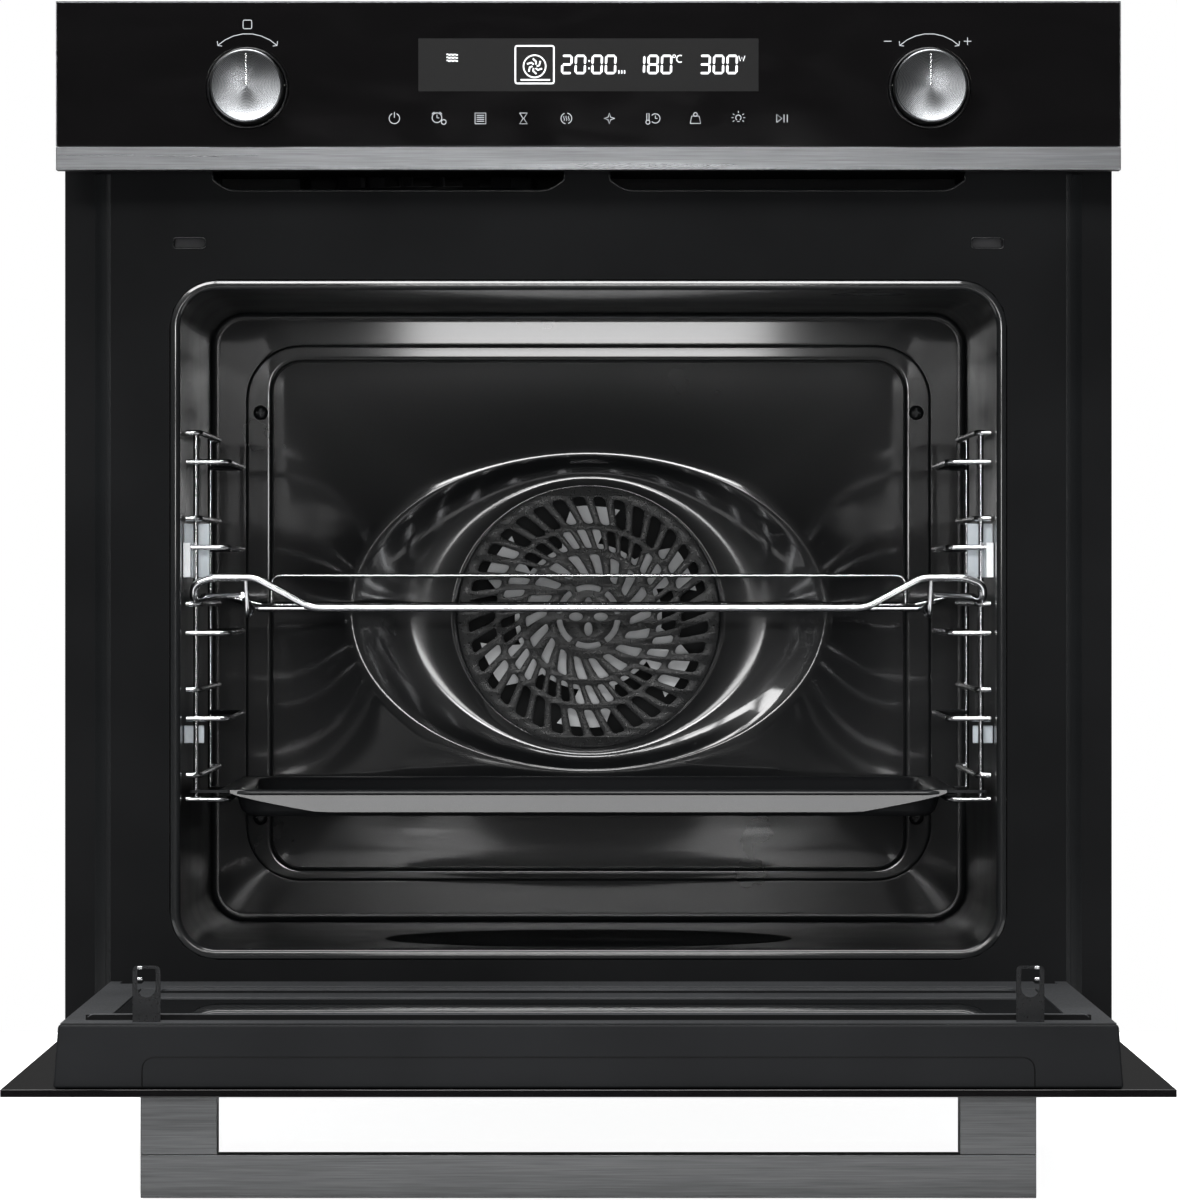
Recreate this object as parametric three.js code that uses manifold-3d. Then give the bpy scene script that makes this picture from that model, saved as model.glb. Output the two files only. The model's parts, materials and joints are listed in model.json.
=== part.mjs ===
// Built-in wall oven with microwave function, in millimetres.
// +X is right seen from the front, -Y is the front, +Z is up.
// The origin is the centre of the housing's underside. The door stands open at 90 degrees.
import * as THREE from "three";
import { mergeVertices } from "three/addons/utils/BufferGeometryUtils.js";
import { ParametricGeometry } from "three/addons/geometries/ParametricGeometry.js";
import Module from "manifold-3d";

const wasm = await Module();
wasm.setup();

// ---------- driving dimensions ----------
const GAP = 0.3; // between neighbouring pieces
const SHEET = 1; // housing sheet thickness

const FRONT_HALF = 297.5; // half the width of panel and door
const FRONT_TOP = 595;
const Y_PANEL = -307; // front plane of the control panel
const Y_FACADE = Y_PANEL + 40; // front plane of the front frame's plate
const Y_CABINET = Y_FACADE + 4; // plane of the cabinet's front edges
const Y_REAR = 263; // back of the housing
const HOUSING_HALF = 279;
const HOUSING_TOP = 583;

const STRIP = { low: 500.6, high: 513.4 }; // steel strip under the control glass
const GLASS = 4; // thickness of a glass pane

const CAVITY = { half: 230, low: 63.6, high: 434.9, depth: 395, corner: 21 };
const Y_BACK = Y_FACADE + CAVITY.depth; // front face of the cavity's back wall
const LINER = 1.5; // enamelled sheet
const RIM = 5.7; // how far the rim stands out past the cavity wall
const BACK_WALL = 3.5; // back wall with the joggle that takes the fan cover

const COVER = { half: 208.6, low: 88.7, high: 414.8, corner: 33 };
const RECESS = { half: 194, low: 94.8, high: 406.2, corner: 19, depth: 8 };
const RIDGE = { x: 146.6, z: 96.5, centre: 252.3, depth: 1.5 };
const GRILLE = { centre: 249.5, r: 78.8, depth: 6 };
const FAN_AXIS = { x: 0, z: GRILLE.centre };

const HINGE = { y: Y_FACADE - 21, z: 28.6, x: 256 };
const DOOR_NEAR = Y_FACADE - 489; // top edge of the door, lying nearest the user
const DOOR_FAR = HINGE.y + 18; // bottom edge of the outer pane
const DOOR_FACE = 9.6; // height of the outer face
const LINER_TOP = 45.9; // height of the door's inner face
const LINER_FAR = HINGE.y + 10;
const LINER_NEAR = DOOR_NEAR + 6;
const TRIM_DEPTH = 18;
const WINDOW = { half: 247, near: -692, far: -357 }; // inner pane

const HANDLE = { half: 228, post: 39, reach: 53, bar: 22, near: DOOR_NEAR + 29, depth: 23 };
const HOOK = { x: 225.2, y: HINGE.y - 432.8, width: 14.3, top: 74.5, sheet: 1.2, root: 31 };

const KNOB = { x: 190.5, z: 546.5, r: 20.3, front: Y_PANEL - 22, back: Y_PANEL + 11 };
const KNOB_TRAVEL = 19;
const COLLAR_R = 22.9;

const RACK = { wire: 1.6, front: Y_FACADE + 30, back: Y_FACADE + 275, upright: 222.5, rearUpright: 225.3 };
const GUARD = { x: 220, levels: [161, 209.5, 258, 306.5, 355] };
const SUPPORT = { x: 205, below: 16.5, lowest: 147.4 };

const SHELF = {
  rail: 218.3, // the rails' distance from the middle
  inner: 191,
  z: 262,
  floor: 255.7,
  ends: 273, // the raised ends of the front wire
  wire: 2,
  front: Y_FACADE + 20,
  back: Y_FACADE + 372,
  bars: 22,
  pitch: 14.2,
};
const TRAY = { top: 152.7, bottom: 137.4, half: 197, foot: 191, flange: 209, ear: 225.9 };

const DUCT = { low: 484, high: 508, half: 216 };
const BLOWER = { x: -90, y: 20, r: 62, top: 532 };
const MAGNETRON = { x: 165, y: 10 };

// ---------- materials ----------
function paint(color, roughness, metalness) {
  return () => new THREE.MeshStandardMaterial({ color, roughness, metalness });
}
const BLACK_GLASS = paint(0x050507, 0.05, 0.0);
const CLEAR_GLASS = paint(0x2a3236, 0.05, 0.0);
const BRUSHED = paint(0x9a9c9e, 0.35, 1.0);
const TURNED = paint(0xc4c6c8, 0.3, 1.0);
const ENAMEL = paint(0x0b0c0d, 0.15, 0.0);
const MATT_BLACK = paint(0x1a1b1c, 0.6, 0.1);
const CHROME = paint(0xd8dadc, 0.12, 1.0);
const CERAMIC = paint(0xf2f2ee, 0.35, 0.0);
const ZINC = paint(0xa9adb0, 0.45, 0.9);
const PLASTIC = paint(0x18191a, 0.5, 0.0);
const WOOL = paint(0xcfc79a, 0.95, 0.0);
const BLADE = paint(0xc9cccd, 0.4, 0.8);
const ELEMENT = paint(0x4c4a47, 0.5, 0.6);
const BOARD = paint(0x1f5a33, 0.6, 0.0);
const COPPER = paint(0x8f5a35, 0.5, 0.7);

// ---------- solids ----------
const EPSILON = 1e-4;

// A closed three.js geometry as a solid that can be joined and cut.
function solid(geometry) {
  const bare = new THREE.BufferGeometry();
  bare.setAttribute("position", geometry.getAttribute("position"));
  bare.setIndex(geometry.getIndex());
  const merged = mergeVertices(bare, EPSILON);
  const index = merged.index.array;
  const kept = [];
  for (let i = 0; i < index.length; i += 3) {
    const [a, b, c] = [index[i], index[i + 1], index[i + 2]];
    if (a !== b && b !== c && c !== a) kept.push(a, b, c);
  }
  const build = (triangles) =>
    new wasm.Manifold(
      new wasm.Mesh({
        numProp: 3,
        vertProperties: merged.attributes.position.array,
        triVerts: new Uint32Array(triangles),
      }),
    );
  const made = build(kept);
  if (made.volume() > 0) return made;
  const turned = [];
  for (let i = 0; i < kept.length; i += 3) turned.push(kept[i], kept[i + 2], kept[i + 1]);
  return build(turned);
}

function geometryOf(made) {
  const { vertProperties, triVerts } = made.getMesh();
  const geometry = new THREE.BufferGeometry();
  geometry.setAttribute("position", new THREE.BufferAttribute(vertProperties, 3));
  geometry.setIndex(new THREE.BufferAttribute(triVerts, 1));
  geometry.computeVertexNormals();
  return geometry;
}

const oven = new THREE.Group();

function add(name, made, material) {
  const mesh = new THREE.Mesh(geometryOf(made), material());
  mesh.name = name;
  oven.add(mesh);
}

const join = (pieces) => pieces.reduce((all, next) => all.add(next));
const cut = (body, pieces) => pieces.reduce((left, next) => left.subtract(next), body);

// A box from its lowest to its highest corner.
function box(x0, x1, y0, y1, z0, z1) {
  const geometry = new THREE.BoxGeometry(x1 - x0, y1 - y0, z1 - z0);
  geometry.translate((x0 + x1) / 2, (y0 + y1) / 2, (z0 + z1) / 2);
  return solid(geometry);
}

// The same box on the side given by +1 (right) or -1 (left), with x0 and x1 as distances.
function sideBox(side, x0, x1, y0, y1, z0, z1) {
  const [a, b] = side > 0 ? [x0, x1] : [-x1, -x0];
  return box(a, b, y0, y1, z0, z1);
}

function roundedRect(x0, x1, y0, y1, r) {
  const shape = new THREE.Shape();
  shape.moveTo(x0 + r, y0);
  shape.lineTo(x1 - r, y0);
  shape.absarc(x1 - r, y0 + r, r, -Math.PI / 2, 0);
  shape.lineTo(x1, y1 - r);
  shape.absarc(x1 - r, y1 - r, r, 0, Math.PI / 2);
  shape.lineTo(x0 + r, y1);
  shape.absarc(x0 + r, y1 - r, r, Math.PI / 2, Math.PI);
  shape.lineTo(x0, y0 + r);
  shape.absarc(x0 + r, y0 + r, r, Math.PI, Math.PI * 1.5);
  return shape;
}

function polygon(points) {
  return new THREE.Shape(points.map(([x, y]) => new THREE.Vector2(x, y)));
}

// Outlines drawn in X and Z, standing from y0 to y1.
function upright(shape, y0, y1, curveSegments = 2) {
  const options = { depth: y1 - y0, bevelEnabled: false, curveSegments };
  const geometry = new THREE.ExtrudeGeometry(shape, options);
  geometry.rotateX(Math.PI / 2);
  geometry.translate(0, y1, 0);
  return solid(geometry);
}

// Outlines drawn in X and Y, lying from z0 to z1.
function flat(shape, z0, z1, curveSegments = 2) {
  const options = { depth: z1 - z0, bevelEnabled: false, curveSegments };
  const geometry = new THREE.ExtrudeGeometry(shape, options);
  geometry.translate(0, 0, z0);
  return solid(geometry);
}

// Outlines drawn in Y and Z, standing from x0 to x1.
function sideways(shape, x0, x1, curveSegments = 3) {
  const options = { depth: x1 - x0, bevelEnabled: false, curveSegments };
  const geometry = new THREE.ExtrudeGeometry(shape, options);
  const turn = new THREE.Matrix4().makeBasis(
    new THREE.Vector3(0, 1, 0),
    new THREE.Vector3(0, 0, 1),
    new THREE.Vector3(1, 0, 0),
  );
  geometry.applyMatrix4(turn);
  geometry.translate(x0, 0, 0);
  return solid(geometry);
}

// A round bar along Y.
function bar(x, z, y0, y1, r, sides = 24) {
  const geometry = new THREE.CylinderGeometry(r, r, y1 - y0, sides);
  geometry.translate(x, (y0 + y1) / 2, z);
  return solid(geometry);
}

// A round bar along Z.
function post(x, y, z0, z1, r, sides = 24) {
  const geometry = new THREE.CylinderGeometry(r, r, z1 - z0, sides);
  geometry.rotateX(Math.PI / 2);
  geometry.translate(x, y, (z0 + z1) / 2);
  return solid(geometry);
}

// A round bar along X.
function pin(x0, x1, y, z, r, sides = 16) {
  const geometry = new THREE.CylinderGeometry(r, r, x1 - x0, sides);
  geometry.rotateZ(Math.PI / 2);
  geometry.translate((x0 + x1) / 2, y, z);
  return solid(geometry);
}

// A path that runs through its points in straight lines, with mitred corners.
class WirePath extends THREE.Curve {
  constructor(points) {
    super();
    this.points = points;
  }
  getPoint(t, target = new THREE.Vector3()) {
    const at = t * (this.points.length - 1);
    const i = Math.min(Math.floor(at), this.points.length - 2);
    return target.lerpVectors(this.points[i], this.points[i + 1], at - i);
  }
  getPointAt(u, target) {
    return this.getPoint(u, target);
  }
  getTangentAt(u, target = new THREE.Vector3()) {
    const i = Math.round(u * (this.points.length - 1));
    const before = this.points[Math.max(i - 1, 0)];
    const here = this.points[i];
    const after = this.points[Math.min(i + 1, this.points.length - 1)];
    const arriving = new THREE.Vector3().subVectors(here, before).normalize();
    const leaving = new THREE.Vector3().subVectors(after, here).normalize();
    return target.addVectors(arriving, leaving).normalize();
  }
}

// Bends each inner corner of a route to about the given radius.
function bent(route, radius, steps) {
  const points = route.map(([x, y, z]) => new THREE.Vector3(x, y, z));
  if (!radius) return points;
  const out = [points[0]];
  for (let i = 1; i < points.length - 1; i++) {
    const [before, here, after] = [points[i - 1], points[i], points[i + 1]];
    const back = before.clone().sub(here);
    const on = after.clone().sub(here);
    const reach = Math.min(radius, back.length() / 2.1, on.length() / 2.1);
    const start = here.clone().add(back.setLength(reach));
    const end = here.clone().add(on.setLength(reach));
    const bend = new THREE.QuadraticBezierCurve3(start, here, end);
    out.push(...bend.getPoints(steps));
  }
  out.push(points[points.length - 1]);
  return out;
}

// A wire of round section along a bent route.
function wire(route, r, radius = 6, sides = 6, steps = 1) {
  const path = new WirePath(bent(route, radius, steps));
  const section = [];
  for (let i = 0; i < sides; i++) {
    const angle = (2 * Math.PI * i) / sides;
    section.push([r * Math.cos(angle), r * Math.sin(angle)]);
  }
  const options = {
    extrudePath: path,
    steps: path.points.length - 1,
    bevelEnabled: false,
  };
  return solid(new THREE.ExtrudeGeometry(polygon(section), options));
}

const mirrored = (route) => route.map(([x, y, z]) => [-x, y, z]);

// ---------- pressed sheet: nested outlines joined by a closed profile ----------
// A rounded rectangle about (0, centre), met by a ray at an angle. X and Z.
function onRoundedRect(half, tall, r, centre, angle) {
  const c = Math.cos(angle);
  const s = Math.sin(angle);
  const scale = Math.min(half / Math.max(Math.abs(c), 1e-9), tall / Math.max(Math.abs(s), 1e-9));
  let x = c * scale;
  let z = s * scale;
  const inX = half - r;
  const inZ = tall - r;
  if (Math.abs(x) > inX && Math.abs(z) > inZ) {
    // where the ray meets the corner's circle
    const [cx, cz] = [Math.sign(c) * inX, Math.sign(s) * inZ];
    const along = c * cx + s * cz;
    const off = cx * cx + cz * cz - along * along;
    const t = along + Math.sqrt(Math.max(r * r - off, 0));
    x = c * t;
    z = s * t;
  }
  return [x, z + centre];
}

const onEllipse = (a, b, centre, angle) => [
  a * Math.cos(angle),
  b * Math.sin(angle) + centre,
];

// Closed sheet whose section runs once round the given rings. Each ring is (angle) => [x, y, z].
function pressed(rings, slices) {
  const surface = (u, v, target) => {
    const angle = 2 * Math.PI * ((Math.round(u * slices) % slices) / slices);
    const ring = rings[Math.round(v * rings.length) % rings.length];
    target.set(...ring(angle));
  };
  return solid(new ParametricGeometry(surface, slices, rings.length));
}

// A band that follows a rounded rectangle in X and Z. Its section is a closed list of
// [distance outwards, y].
function frameBand(rect, profile, arcSteps = 4) {
  const perCorner = arcSteps + 1;
  const slices = 4 * perCorner;
  const { half, low, high, corner } = rect;
  const signs = [[1, 1], [-1, 1], [-1, -1], [1, -1]];
  const surface = (u, v, target) => {
    const step = Math.round(u * slices) % slices;
    const k = Math.floor(step / perCorner);
    const angle = (Math.PI / 2) * (k + (step % perCorner) / arcSteps);
    const [out, y] = profile[Math.round(v * profile.length) % profile.length];
    const r = corner + out;
    const x = signs[k][0] * (half - corner) + r * Math.cos(angle);
    const middle = (low + high) / 2;
    const z = middle + signs[k][1] * ((high - low) / 2 - corner) + r * Math.sin(angle);
    target.set(x, y, z);
  };
  return solid(new ParametricGeometry(surface, slices, profile.length));
}

const rectShape = ({ half, low, high, corner }, grow = 0) =>
  roundedRect(-half - grow, half + grow, low - grow, high + grow, corner + grow);

// ---------- cavity ----------
function cavityLiner() {
  const front = Y_FACADE;
  const profile = [
    [0, Y_BACK + 1],
    [0, front + 5],
    [1, front + 1.6],
    [3, front + 0.1],
    [RIM - 1, front + 0.1],
    [RIM, front + 1],
    [RIM, front + 4],
    [LINER, front + 7],
    [LINER, Y_BACK + 1],
  ];
  const walls = frameBand(CAVITY, profile);
  const back = upright(rectShape(CAVITY, LINER), Y_BACK, Y_BACK + BACK_WALL);
  const dish = post(0, front + 145, CAVITY.low - 4, CAVITY.low - 1, 112);
  const body = join([walls, back, dish]);
  const pocket = upright(rectShape(COVER, GAP), Y_BACK - 1, Y_BACK + 1.6, 4);
  const opening = upright(rectShape(RECESS, 3), Y_BACK, Y_BACK + 5);
  const hollow = post(0, front + 145, CAVITY.low - 2.5, CAVITY.low + 2, 110);
  const lampHole = post(160, front + 70, CAVITY.high - 5, CAVITY.high + 5, 22, 20);
  const waveMouth = box(145, 185, -10, 30, CAVITY.high - 5, CAVITY.high + 5);
  return cut(body, [pocket, opening, hollow, lampHole, waveMouth]);
}

function lampGlass() {
  const dome = post(160, Y_FACADE + 70, CAVITY.high + 0.2, CAVITY.high + 12, 21.5, 20);
  const flange = post(160, Y_FACADE + 70, CAVITY.high + LINER + GAP, CAVITY.high + 5, 26, 20);
  return join([dome, flange]);
}

// ---------- fan cover with its grille ----------
function slot(rOuter, rInner, width, angle, sweep) {
  // a slot that leans: its inner end is turned by sweep
  const outerHalf = width / 2 / rOuter;
  const innerHalf = width / 2 / rInner;
  const at = (r, a) => new THREE.Vector2(r * Math.cos(a), r * Math.sin(a) + GRILLE.centre);
  return new THREE.Path([
    at(rOuter, angle - outerHalf),
    at(rOuter, angle + outerHalf),
    at(rInner, angle - sweep + innerHalf),
    at(rInner, angle - sweep - innerHalf),
  ]);
}

function arcSlot(r, width, start, span) {
  const points = [];
  for (const [radius, from, to] of [[r + width / 2, 0, 1], [r - width / 2, 1, 0]])
    for (let i = 0; i <= 2; i++) {
      const a = start + span * (from + ((to - from) * i) / 2);
      points.push(new THREE.Vector2(radius * Math.cos(a), radius * Math.sin(a) + GRILLE.centre));
    }
  return new THREE.Path(points);
}

function grilleDisc() {
  const disc = new THREE.Shape();
  disc.absarc(0, GRILLE.centre, GRILLE.r - 1, 0, 2 * Math.PI);
  const rows = [
    { count: 36, outer: 73, inner: 57, width: 5.6, sweep: 0.09 },
    { count: 36, outer: 53, inner: 42, width: 4, sweep: 0.08 },
    { count: 18, outer: 38, inner: 25, width: 5, sweep: 0.15 },
  ];
  for (const { count, outer, inner, width, sweep } of rows)
    for (let i = 0; i < count; i++)
      disc.holes.push(slot(outer, inner, width, (2 * Math.PI * i) / count, sweep));
  for (let i = 0; i < 6; i++)
    disc.holes.push(arcSlot(18, 3.4, (Math.PI / 3) * i + 0.1, THREE.MathUtils.degToRad(48)));
  for (const [x, z] of [[7, 0], [-7, 0], [0, 8], [0, -8]])
    disc.holes.push(new THREE.Path([
      new THREE.Vector2(x - 3, z + GRILLE.centre),
      new THREE.Vector2(x, z - 4.5 + GRILLE.centre),
      new THREE.Vector2(x + 3, z + GRILLE.centre),
      new THREE.Vector2(x, z + 4.5 + GRILLE.centre),
    ]));
  const y = Y_BACK + GRILLE.depth;
  return upright(disc, y, y + SHEET, 10);
}

const SCREWS = [
  { name: "upper_left", x: -200, z: 373.9 },
  { name: "upper_right", x: 200, z: 373.9 },
  { name: "lower_left", x: -200, z: 127 },
  { name: "lower_right", x: 200, z: 127 },
];

function fanCover() {
  const rr = (rect, grow, depth) => (angle) => {
    const { half, low, high, corner } = rect;
    const tall = (high - low) / 2;
    const [x, z] = onRoundedRect(
      half + grow, tall + grow, corner + grow, (low + high) / 2, angle,
    );
    return [x, Y_BACK + depth, z];
  };
  const oval = (a, b, centre, depth) => (angle) => {
    const [x, z] = onEllipse(a, b, centre, angle);
    return [x, Y_BACK + depth, z];
  };
  const rings = [
    rr(COVER, 0, 0),
    rr(RECESS, 0, 0),
    rr(RECESS, -3, RECESS.depth - 1),
    rr(RECESS, -8, RECESS.depth),
    oval(RIDGE.x + 4, RIDGE.z + 4, RIDGE.centre, RIDGE.depth + 1.5),
    oval(RIDGE.x, RIDGE.z, RIDGE.centre, RIDGE.depth),
    oval(RIDGE.x - 6, RIDGE.z - 4, RIDGE.centre, RIDGE.depth + 1.5),
    oval(GRILLE.r + 4, GRILLE.r + 2, GRILLE.centre, GRILLE.depth + 1.5),
    oval(GRILLE.r - 2, GRILLE.r - 2, GRILLE.centre, GRILLE.depth),
    oval(GRILLE.r - 2, GRILLE.r - 2, GRILLE.centre, GRILLE.depth + SHEET),
    oval(GRILLE.r + 4, GRILLE.r + 2, GRILLE.centre, GRILLE.depth + 1.5 + SHEET),
    oval(RIDGE.x - 6, RIDGE.z - 4, RIDGE.centre, RIDGE.depth + 1.5 + SHEET),
    oval(RIDGE.x, RIDGE.z, RIDGE.centre, RIDGE.depth + SHEET),
    oval(RIDGE.x + 4, RIDGE.z + 4, RIDGE.centre, RIDGE.depth + 1.5 + SHEET),
    rr(RECESS, -7, RECESS.depth + SHEET),
    rr(RECESS, -2, RECESS.depth - 1 + SHEET),
    rr(RECESS, 1, SHEET),
    rr(COVER, 0, SHEET),
  ];
  const sheet = pressed(rings, 36);
  return cut(join([sheet, grilleDisc()]), SCREWS.map(({ x, z }) => bar(x, z, 120, 140, 2.6, 12)));
}

function coverScrew({ x, z }) {
  const head = bar(x, z, Y_BACK - 2.6, Y_BACK - GAP, 4.5, 12);
  const shank = bar(x, z, Y_BACK - 1, Y_BACK + 1.3, 2.2, 8);
  const across = box(x - 3, x + 3, Y_BACK - 4, Y_BACK - 1.7, z - 0.6, z + 0.6);
  const upDown = box(x - 0.6, x + 0.6, Y_BACK - 4, Y_BACK - 1.7, z - 3, z + 3);
  return cut(join([head, shank]), [across, upDown]);
}

// ---------- behind the back wall ----------
const CHAMBER = { half: 199, low: 90, high: 411, corner: 22 };
const CHAMBER_BACK = Y_BACK + BACK_WALL + 46;
const PAD_BACK = CHAMBER_BACK + 16;

function fanChamber() {
  const start = Y_BACK + BACK_WALL + GAP;
  const profile = [[0, start], [0, CHAMBER_BACK], [-SHEET, CHAMBER_BACK], [-SHEET, start]];
  const walls = frameBand(CHAMBER, profile, 2);
  const back = upright(rectShape(CHAMBER), CHAMBER_BACK - SHEET, CHAMBER_BACK);
  const shaftHole = bar(FAN_AXIS.x, FAN_AXIS.z, CHAMBER_BACK - 5, CHAMBER_BACK + 5, 6, 12);
  const leads = [-12, 12].map((x) =>
    bar(x, FAN_AXIS.z - 92, CHAMBER_BACK - 5, CHAMBER_BACK + 5, 4, 8),
  );
  return cut(join([walls, back]), [shaftHole, ...leads]);
}

function ringHeater() {
  const y = Y_BACK + 30;
  const r = 92;
  const route = [];
  const turns = 24;
  const open = 0.13; // radians left open each side of the two leads
  for (let i = 0; i <= turns; i++) {
    const a = -Math.PI / 2 + open + ((2 * Math.PI - 2 * open) * i) / turns;
    route.push([r * Math.cos(a), y, FAN_AXIS.z + r * Math.sin(a)]);
  }
  const [first, last] = [route[0], route[route.length - 1]];
  const back = CHAMBER_BACK + 12;
  const path = [[first[0], back, first[2]], ...route, [last[0], back, last[2]]];
  return wire(path, 3.2, 0);
}

function fanMotor() {
  const y0 = PAD_BACK + 2;
  const can = bar(FAN_AXIS.x, FAN_AXIS.z, y0, y0 + 30, 34, 20);
  const bearing = bar(FAN_AXIS.x, FAN_AXIS.z, y0 + 29, y0 + 38, 11, 16);
  const stack = box(-42, 42, y0 + 6, y0 + 24, FAN_AXIS.z - 30, FAN_AXIS.z + 30);
  const bore = bar(FAN_AXIS.x, FAN_AXIS.z, y0 - 1, y0 + 34, 4.2, 12);
  return cut(join([can, bearing, stack]), [bore]);
}

function fanWheel() {
  const front = Y_BACK + 14;
  const back = Y_BACK + 40;
  const disc = bar(FAN_AXIS.x, FAN_AXIS.z, back - 1.5, back, 68, 32);
  const hub = bar(FAN_AXIS.x, FAN_AXIS.z, front + 8, back, 12, 16);
  const shaft = bar(FAN_AXIS.x, FAN_AXIS.z, front + 4, PAD_BACK + 32, 3.6, 12);
  const blades = [];
  const count = 16;
  for (let i = 0; i < count; i++) {
    const geometry = new THREE.BoxGeometry(27, back - front - 1, 1.4);
    geometry.rotateY(0.35);
    geometry.translate(53, (front + back - 1) / 2, 0);
    geometry.rotateY((2 * Math.PI * i) / count);
    geometry.translate(FAN_AXIS.x, 0, FAN_AXIS.z);
    blades.push(solid(geometry));
  }
  return join([disc, hub, shaft, ...blades]);
}

function insulation() {
  const [inner, outer] = [14, 26];
  const front = Y_FACADE + 46;
  const profile = [[inner, front], [inner, PAD_BACK], [outer, PAD_BACK], [outer, front]];
  const wrap = frameBand(CAVITY, profile, 2);
  const back = upright(rectShape(CAVITY, outer), CHAMBER_BACK + 2, PAD_BACK);
  const motorHole = bar(FAN_AXIS.x, FAN_AXIS.z, CHAMBER_BACK, PAD_BACK + 5, 22, 16);
  const leadHole = box(-22, 22, CHAMBER_BACK, PAD_BACK + 5, FAN_AXIS.z - 102, FAN_AXIS.z - 82);
  const chimney = box(143, 187, -12, 32, CAVITY.high + 10, CAVITY.high + 40);
  return cut(join([wrap, back]), [motorHole, leadHole, chimney]);
}

// A flat heating element that winds back and forth.
function flatHeater(z, lanes, pitch, y0, y1) {
  const route = [];
  for (let i = 0; i < lanes; i++) {
    const x = (i - (lanes - 1) / 2) * pitch;
    const ends = i % 2 ? [y1, y0] : [y0, y1];
    route.push([x, ends[0], z], [x, ends[1], z]);
  }
  return wire(route, 3.2, 14, 6, 2);
}

// ---------- front frame ----------
const STEP = { inner: 270 }; // where the plate steps back to the side strips
const FLANGE = { inner: HOUSING_HALF + 2, outer: 295, relief: 0.6 }; // rests on the cabinet
const SLOT = { x: 224.8, half: 9, low: 458.6, high: 464.2, corner: 2.6 }; // for a latch hook
const VENTS = { low: 491, shoulder: 497, high: 502.5 }; // where the cooling air leaves

function frontFrame() {
  const [y0, y1] = [Y_FACADE, Y_FACADE + LINER];
  const top = HOUSING_TOP + 7;
  const main = box(-STEP.inner - 2, STEP.inner + 2, y0, y1, 0, top);
  const parts = [main];
  for (const side of [-1, 1]) {
    parts.push(sideBox(side, STEP.inner + 1, STEP.inner + 3, y0 + 0.8, Y_CABINET, 0, top));
    const strip = (from, back) =>
      sideBox(side, from, FLANGE.outer, Y_CABINET - LINER, back, 0, top);
    parts.push(strip(STEP.inner + 2, Y_CABINET - FLANGE.relief), strip(FLANGE.inner, Y_CABINET));
  }
  const holes = [upright(rectShape(CAVITY, RIM + GAP), y0 - 1, y1 + 1, 2)];
  holes.push(box(-262, 262, y0 - 1, y1 + 1, 516, 580));
  for (const side of [-1, 1]) {
    const [left, right] = side > 0 ? [11.8, 212.4] : [-211.8, -13.5];
    const [footLeft, footRight] = side > 0 ? [22, 203.9] : [-203.4, -22];
    const mouth = polygon([
      [footLeft, VENTS.low],
      [footRight, VENTS.low],
      [right, VENTS.shoulder],
      [right, VENTS.high],
      [left, VENTS.high],
      [left, VENTS.shoulder],
    ]);
    holes.push(upright(mouth, y0 - 1, y1 + 1));
    const { x, half, low, high, corner } = SLOT;
    const slot = roundedRect(side * x - half, side * x + half, low, high, corner);
    holes.push(upright(slot, y0 - 1, y1 + 1));
    holes.push(sideBox(side, HINGE.x - 4, HINGE.x + 4, y0 - 1, y1 + 1, 18, 39));
  }
  return cut(join(parts), holes);
}

// ---------- housing ----------
function sidePanel(side) {
  const panel = sideBox(
    side, HOUSING_HALF - SHEET, HOUSING_HALF, Y_CABINET + GAP, Y_REAR, 0, HOUSING_TOP,
  );
  const vents = [];
  for (let i = 0; i < 5; i++) {
    const y = 60 + i * 30;
    vents.push(sideBox(side, HOUSING_HALF - 5, HOUSING_HALF + 5, y, y + 12, 528, 566));
  }
  const lifts = [-180, 130].map((y) =>
    sideBox(side, HOUSING_HALF - 5, HOUSING_HALF + 5, y, y + 90, 150, 178),
  );
  return cut(panel, [...vents, ...lifts]);
}

const INSIDE = HOUSING_HALF - SHEET - GAP;

function topCover() {
  const lid = box(-INSIDE, INSIDE, Y_CABINET + GAP, Y_REAR - SHEET - GAP,
    HOUSING_TOP - SHEET, HOUSING_TOP);
  const vents = [];
  for (let i = 0; i < 7; i++)
    vents.push(box(-170 + i * 22, -158 + i * 22, -40, 90, HOUSING_TOP - 5, HOUSING_TOP + 5));
  return cut(lid, vents);
}

function basePlate() {
  const plate = box(-INSIDE, INSIDE, Y_CABINET + GAP, Y_REAR - SHEET - GAP, 0, SHEET);
  const vents = [];
  for (const y of [-200, 150])
    for (let i = 0; i < 6; i++)
      vents.push(box(-150 + i * 54, -120 + i * 54, y, y + 10, -5, 5));
  return cut(plate, vents);
}

const INLET = { x: 190, z: 540 };

function rearCover() {
  const plate = box(-INSIDE, INSIDE, Y_REAR - SHEET, Y_REAR, 0, HOUSING_TOP - SHEET - GAP);
  const lower = SHEET + GAP;
  const edge = box(-INSIDE - 1, INSIDE + 1, Y_REAR - 5, Y_REAR + 5, -1, lower);
  const vents = [];
  for (let i = 0; i < 8; i++)
    vents.push(box(-150, -60, Y_REAR - 5, Y_REAR + 5, 470 + i * 11, 476 + i * 11));
  for (let i = 0; i < 5; i++)
    vents.push(box(-40, 40, Y_REAR - 5, Y_REAR + 5, 230 + i * 11, 236 + i * 11));
  const inlet = bar(INLET.x, INLET.z, Y_REAR - 5, Y_REAR + 5, 11.5, 20);
  return cut(plate, [edge, ...vents, inlet]);
}

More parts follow.
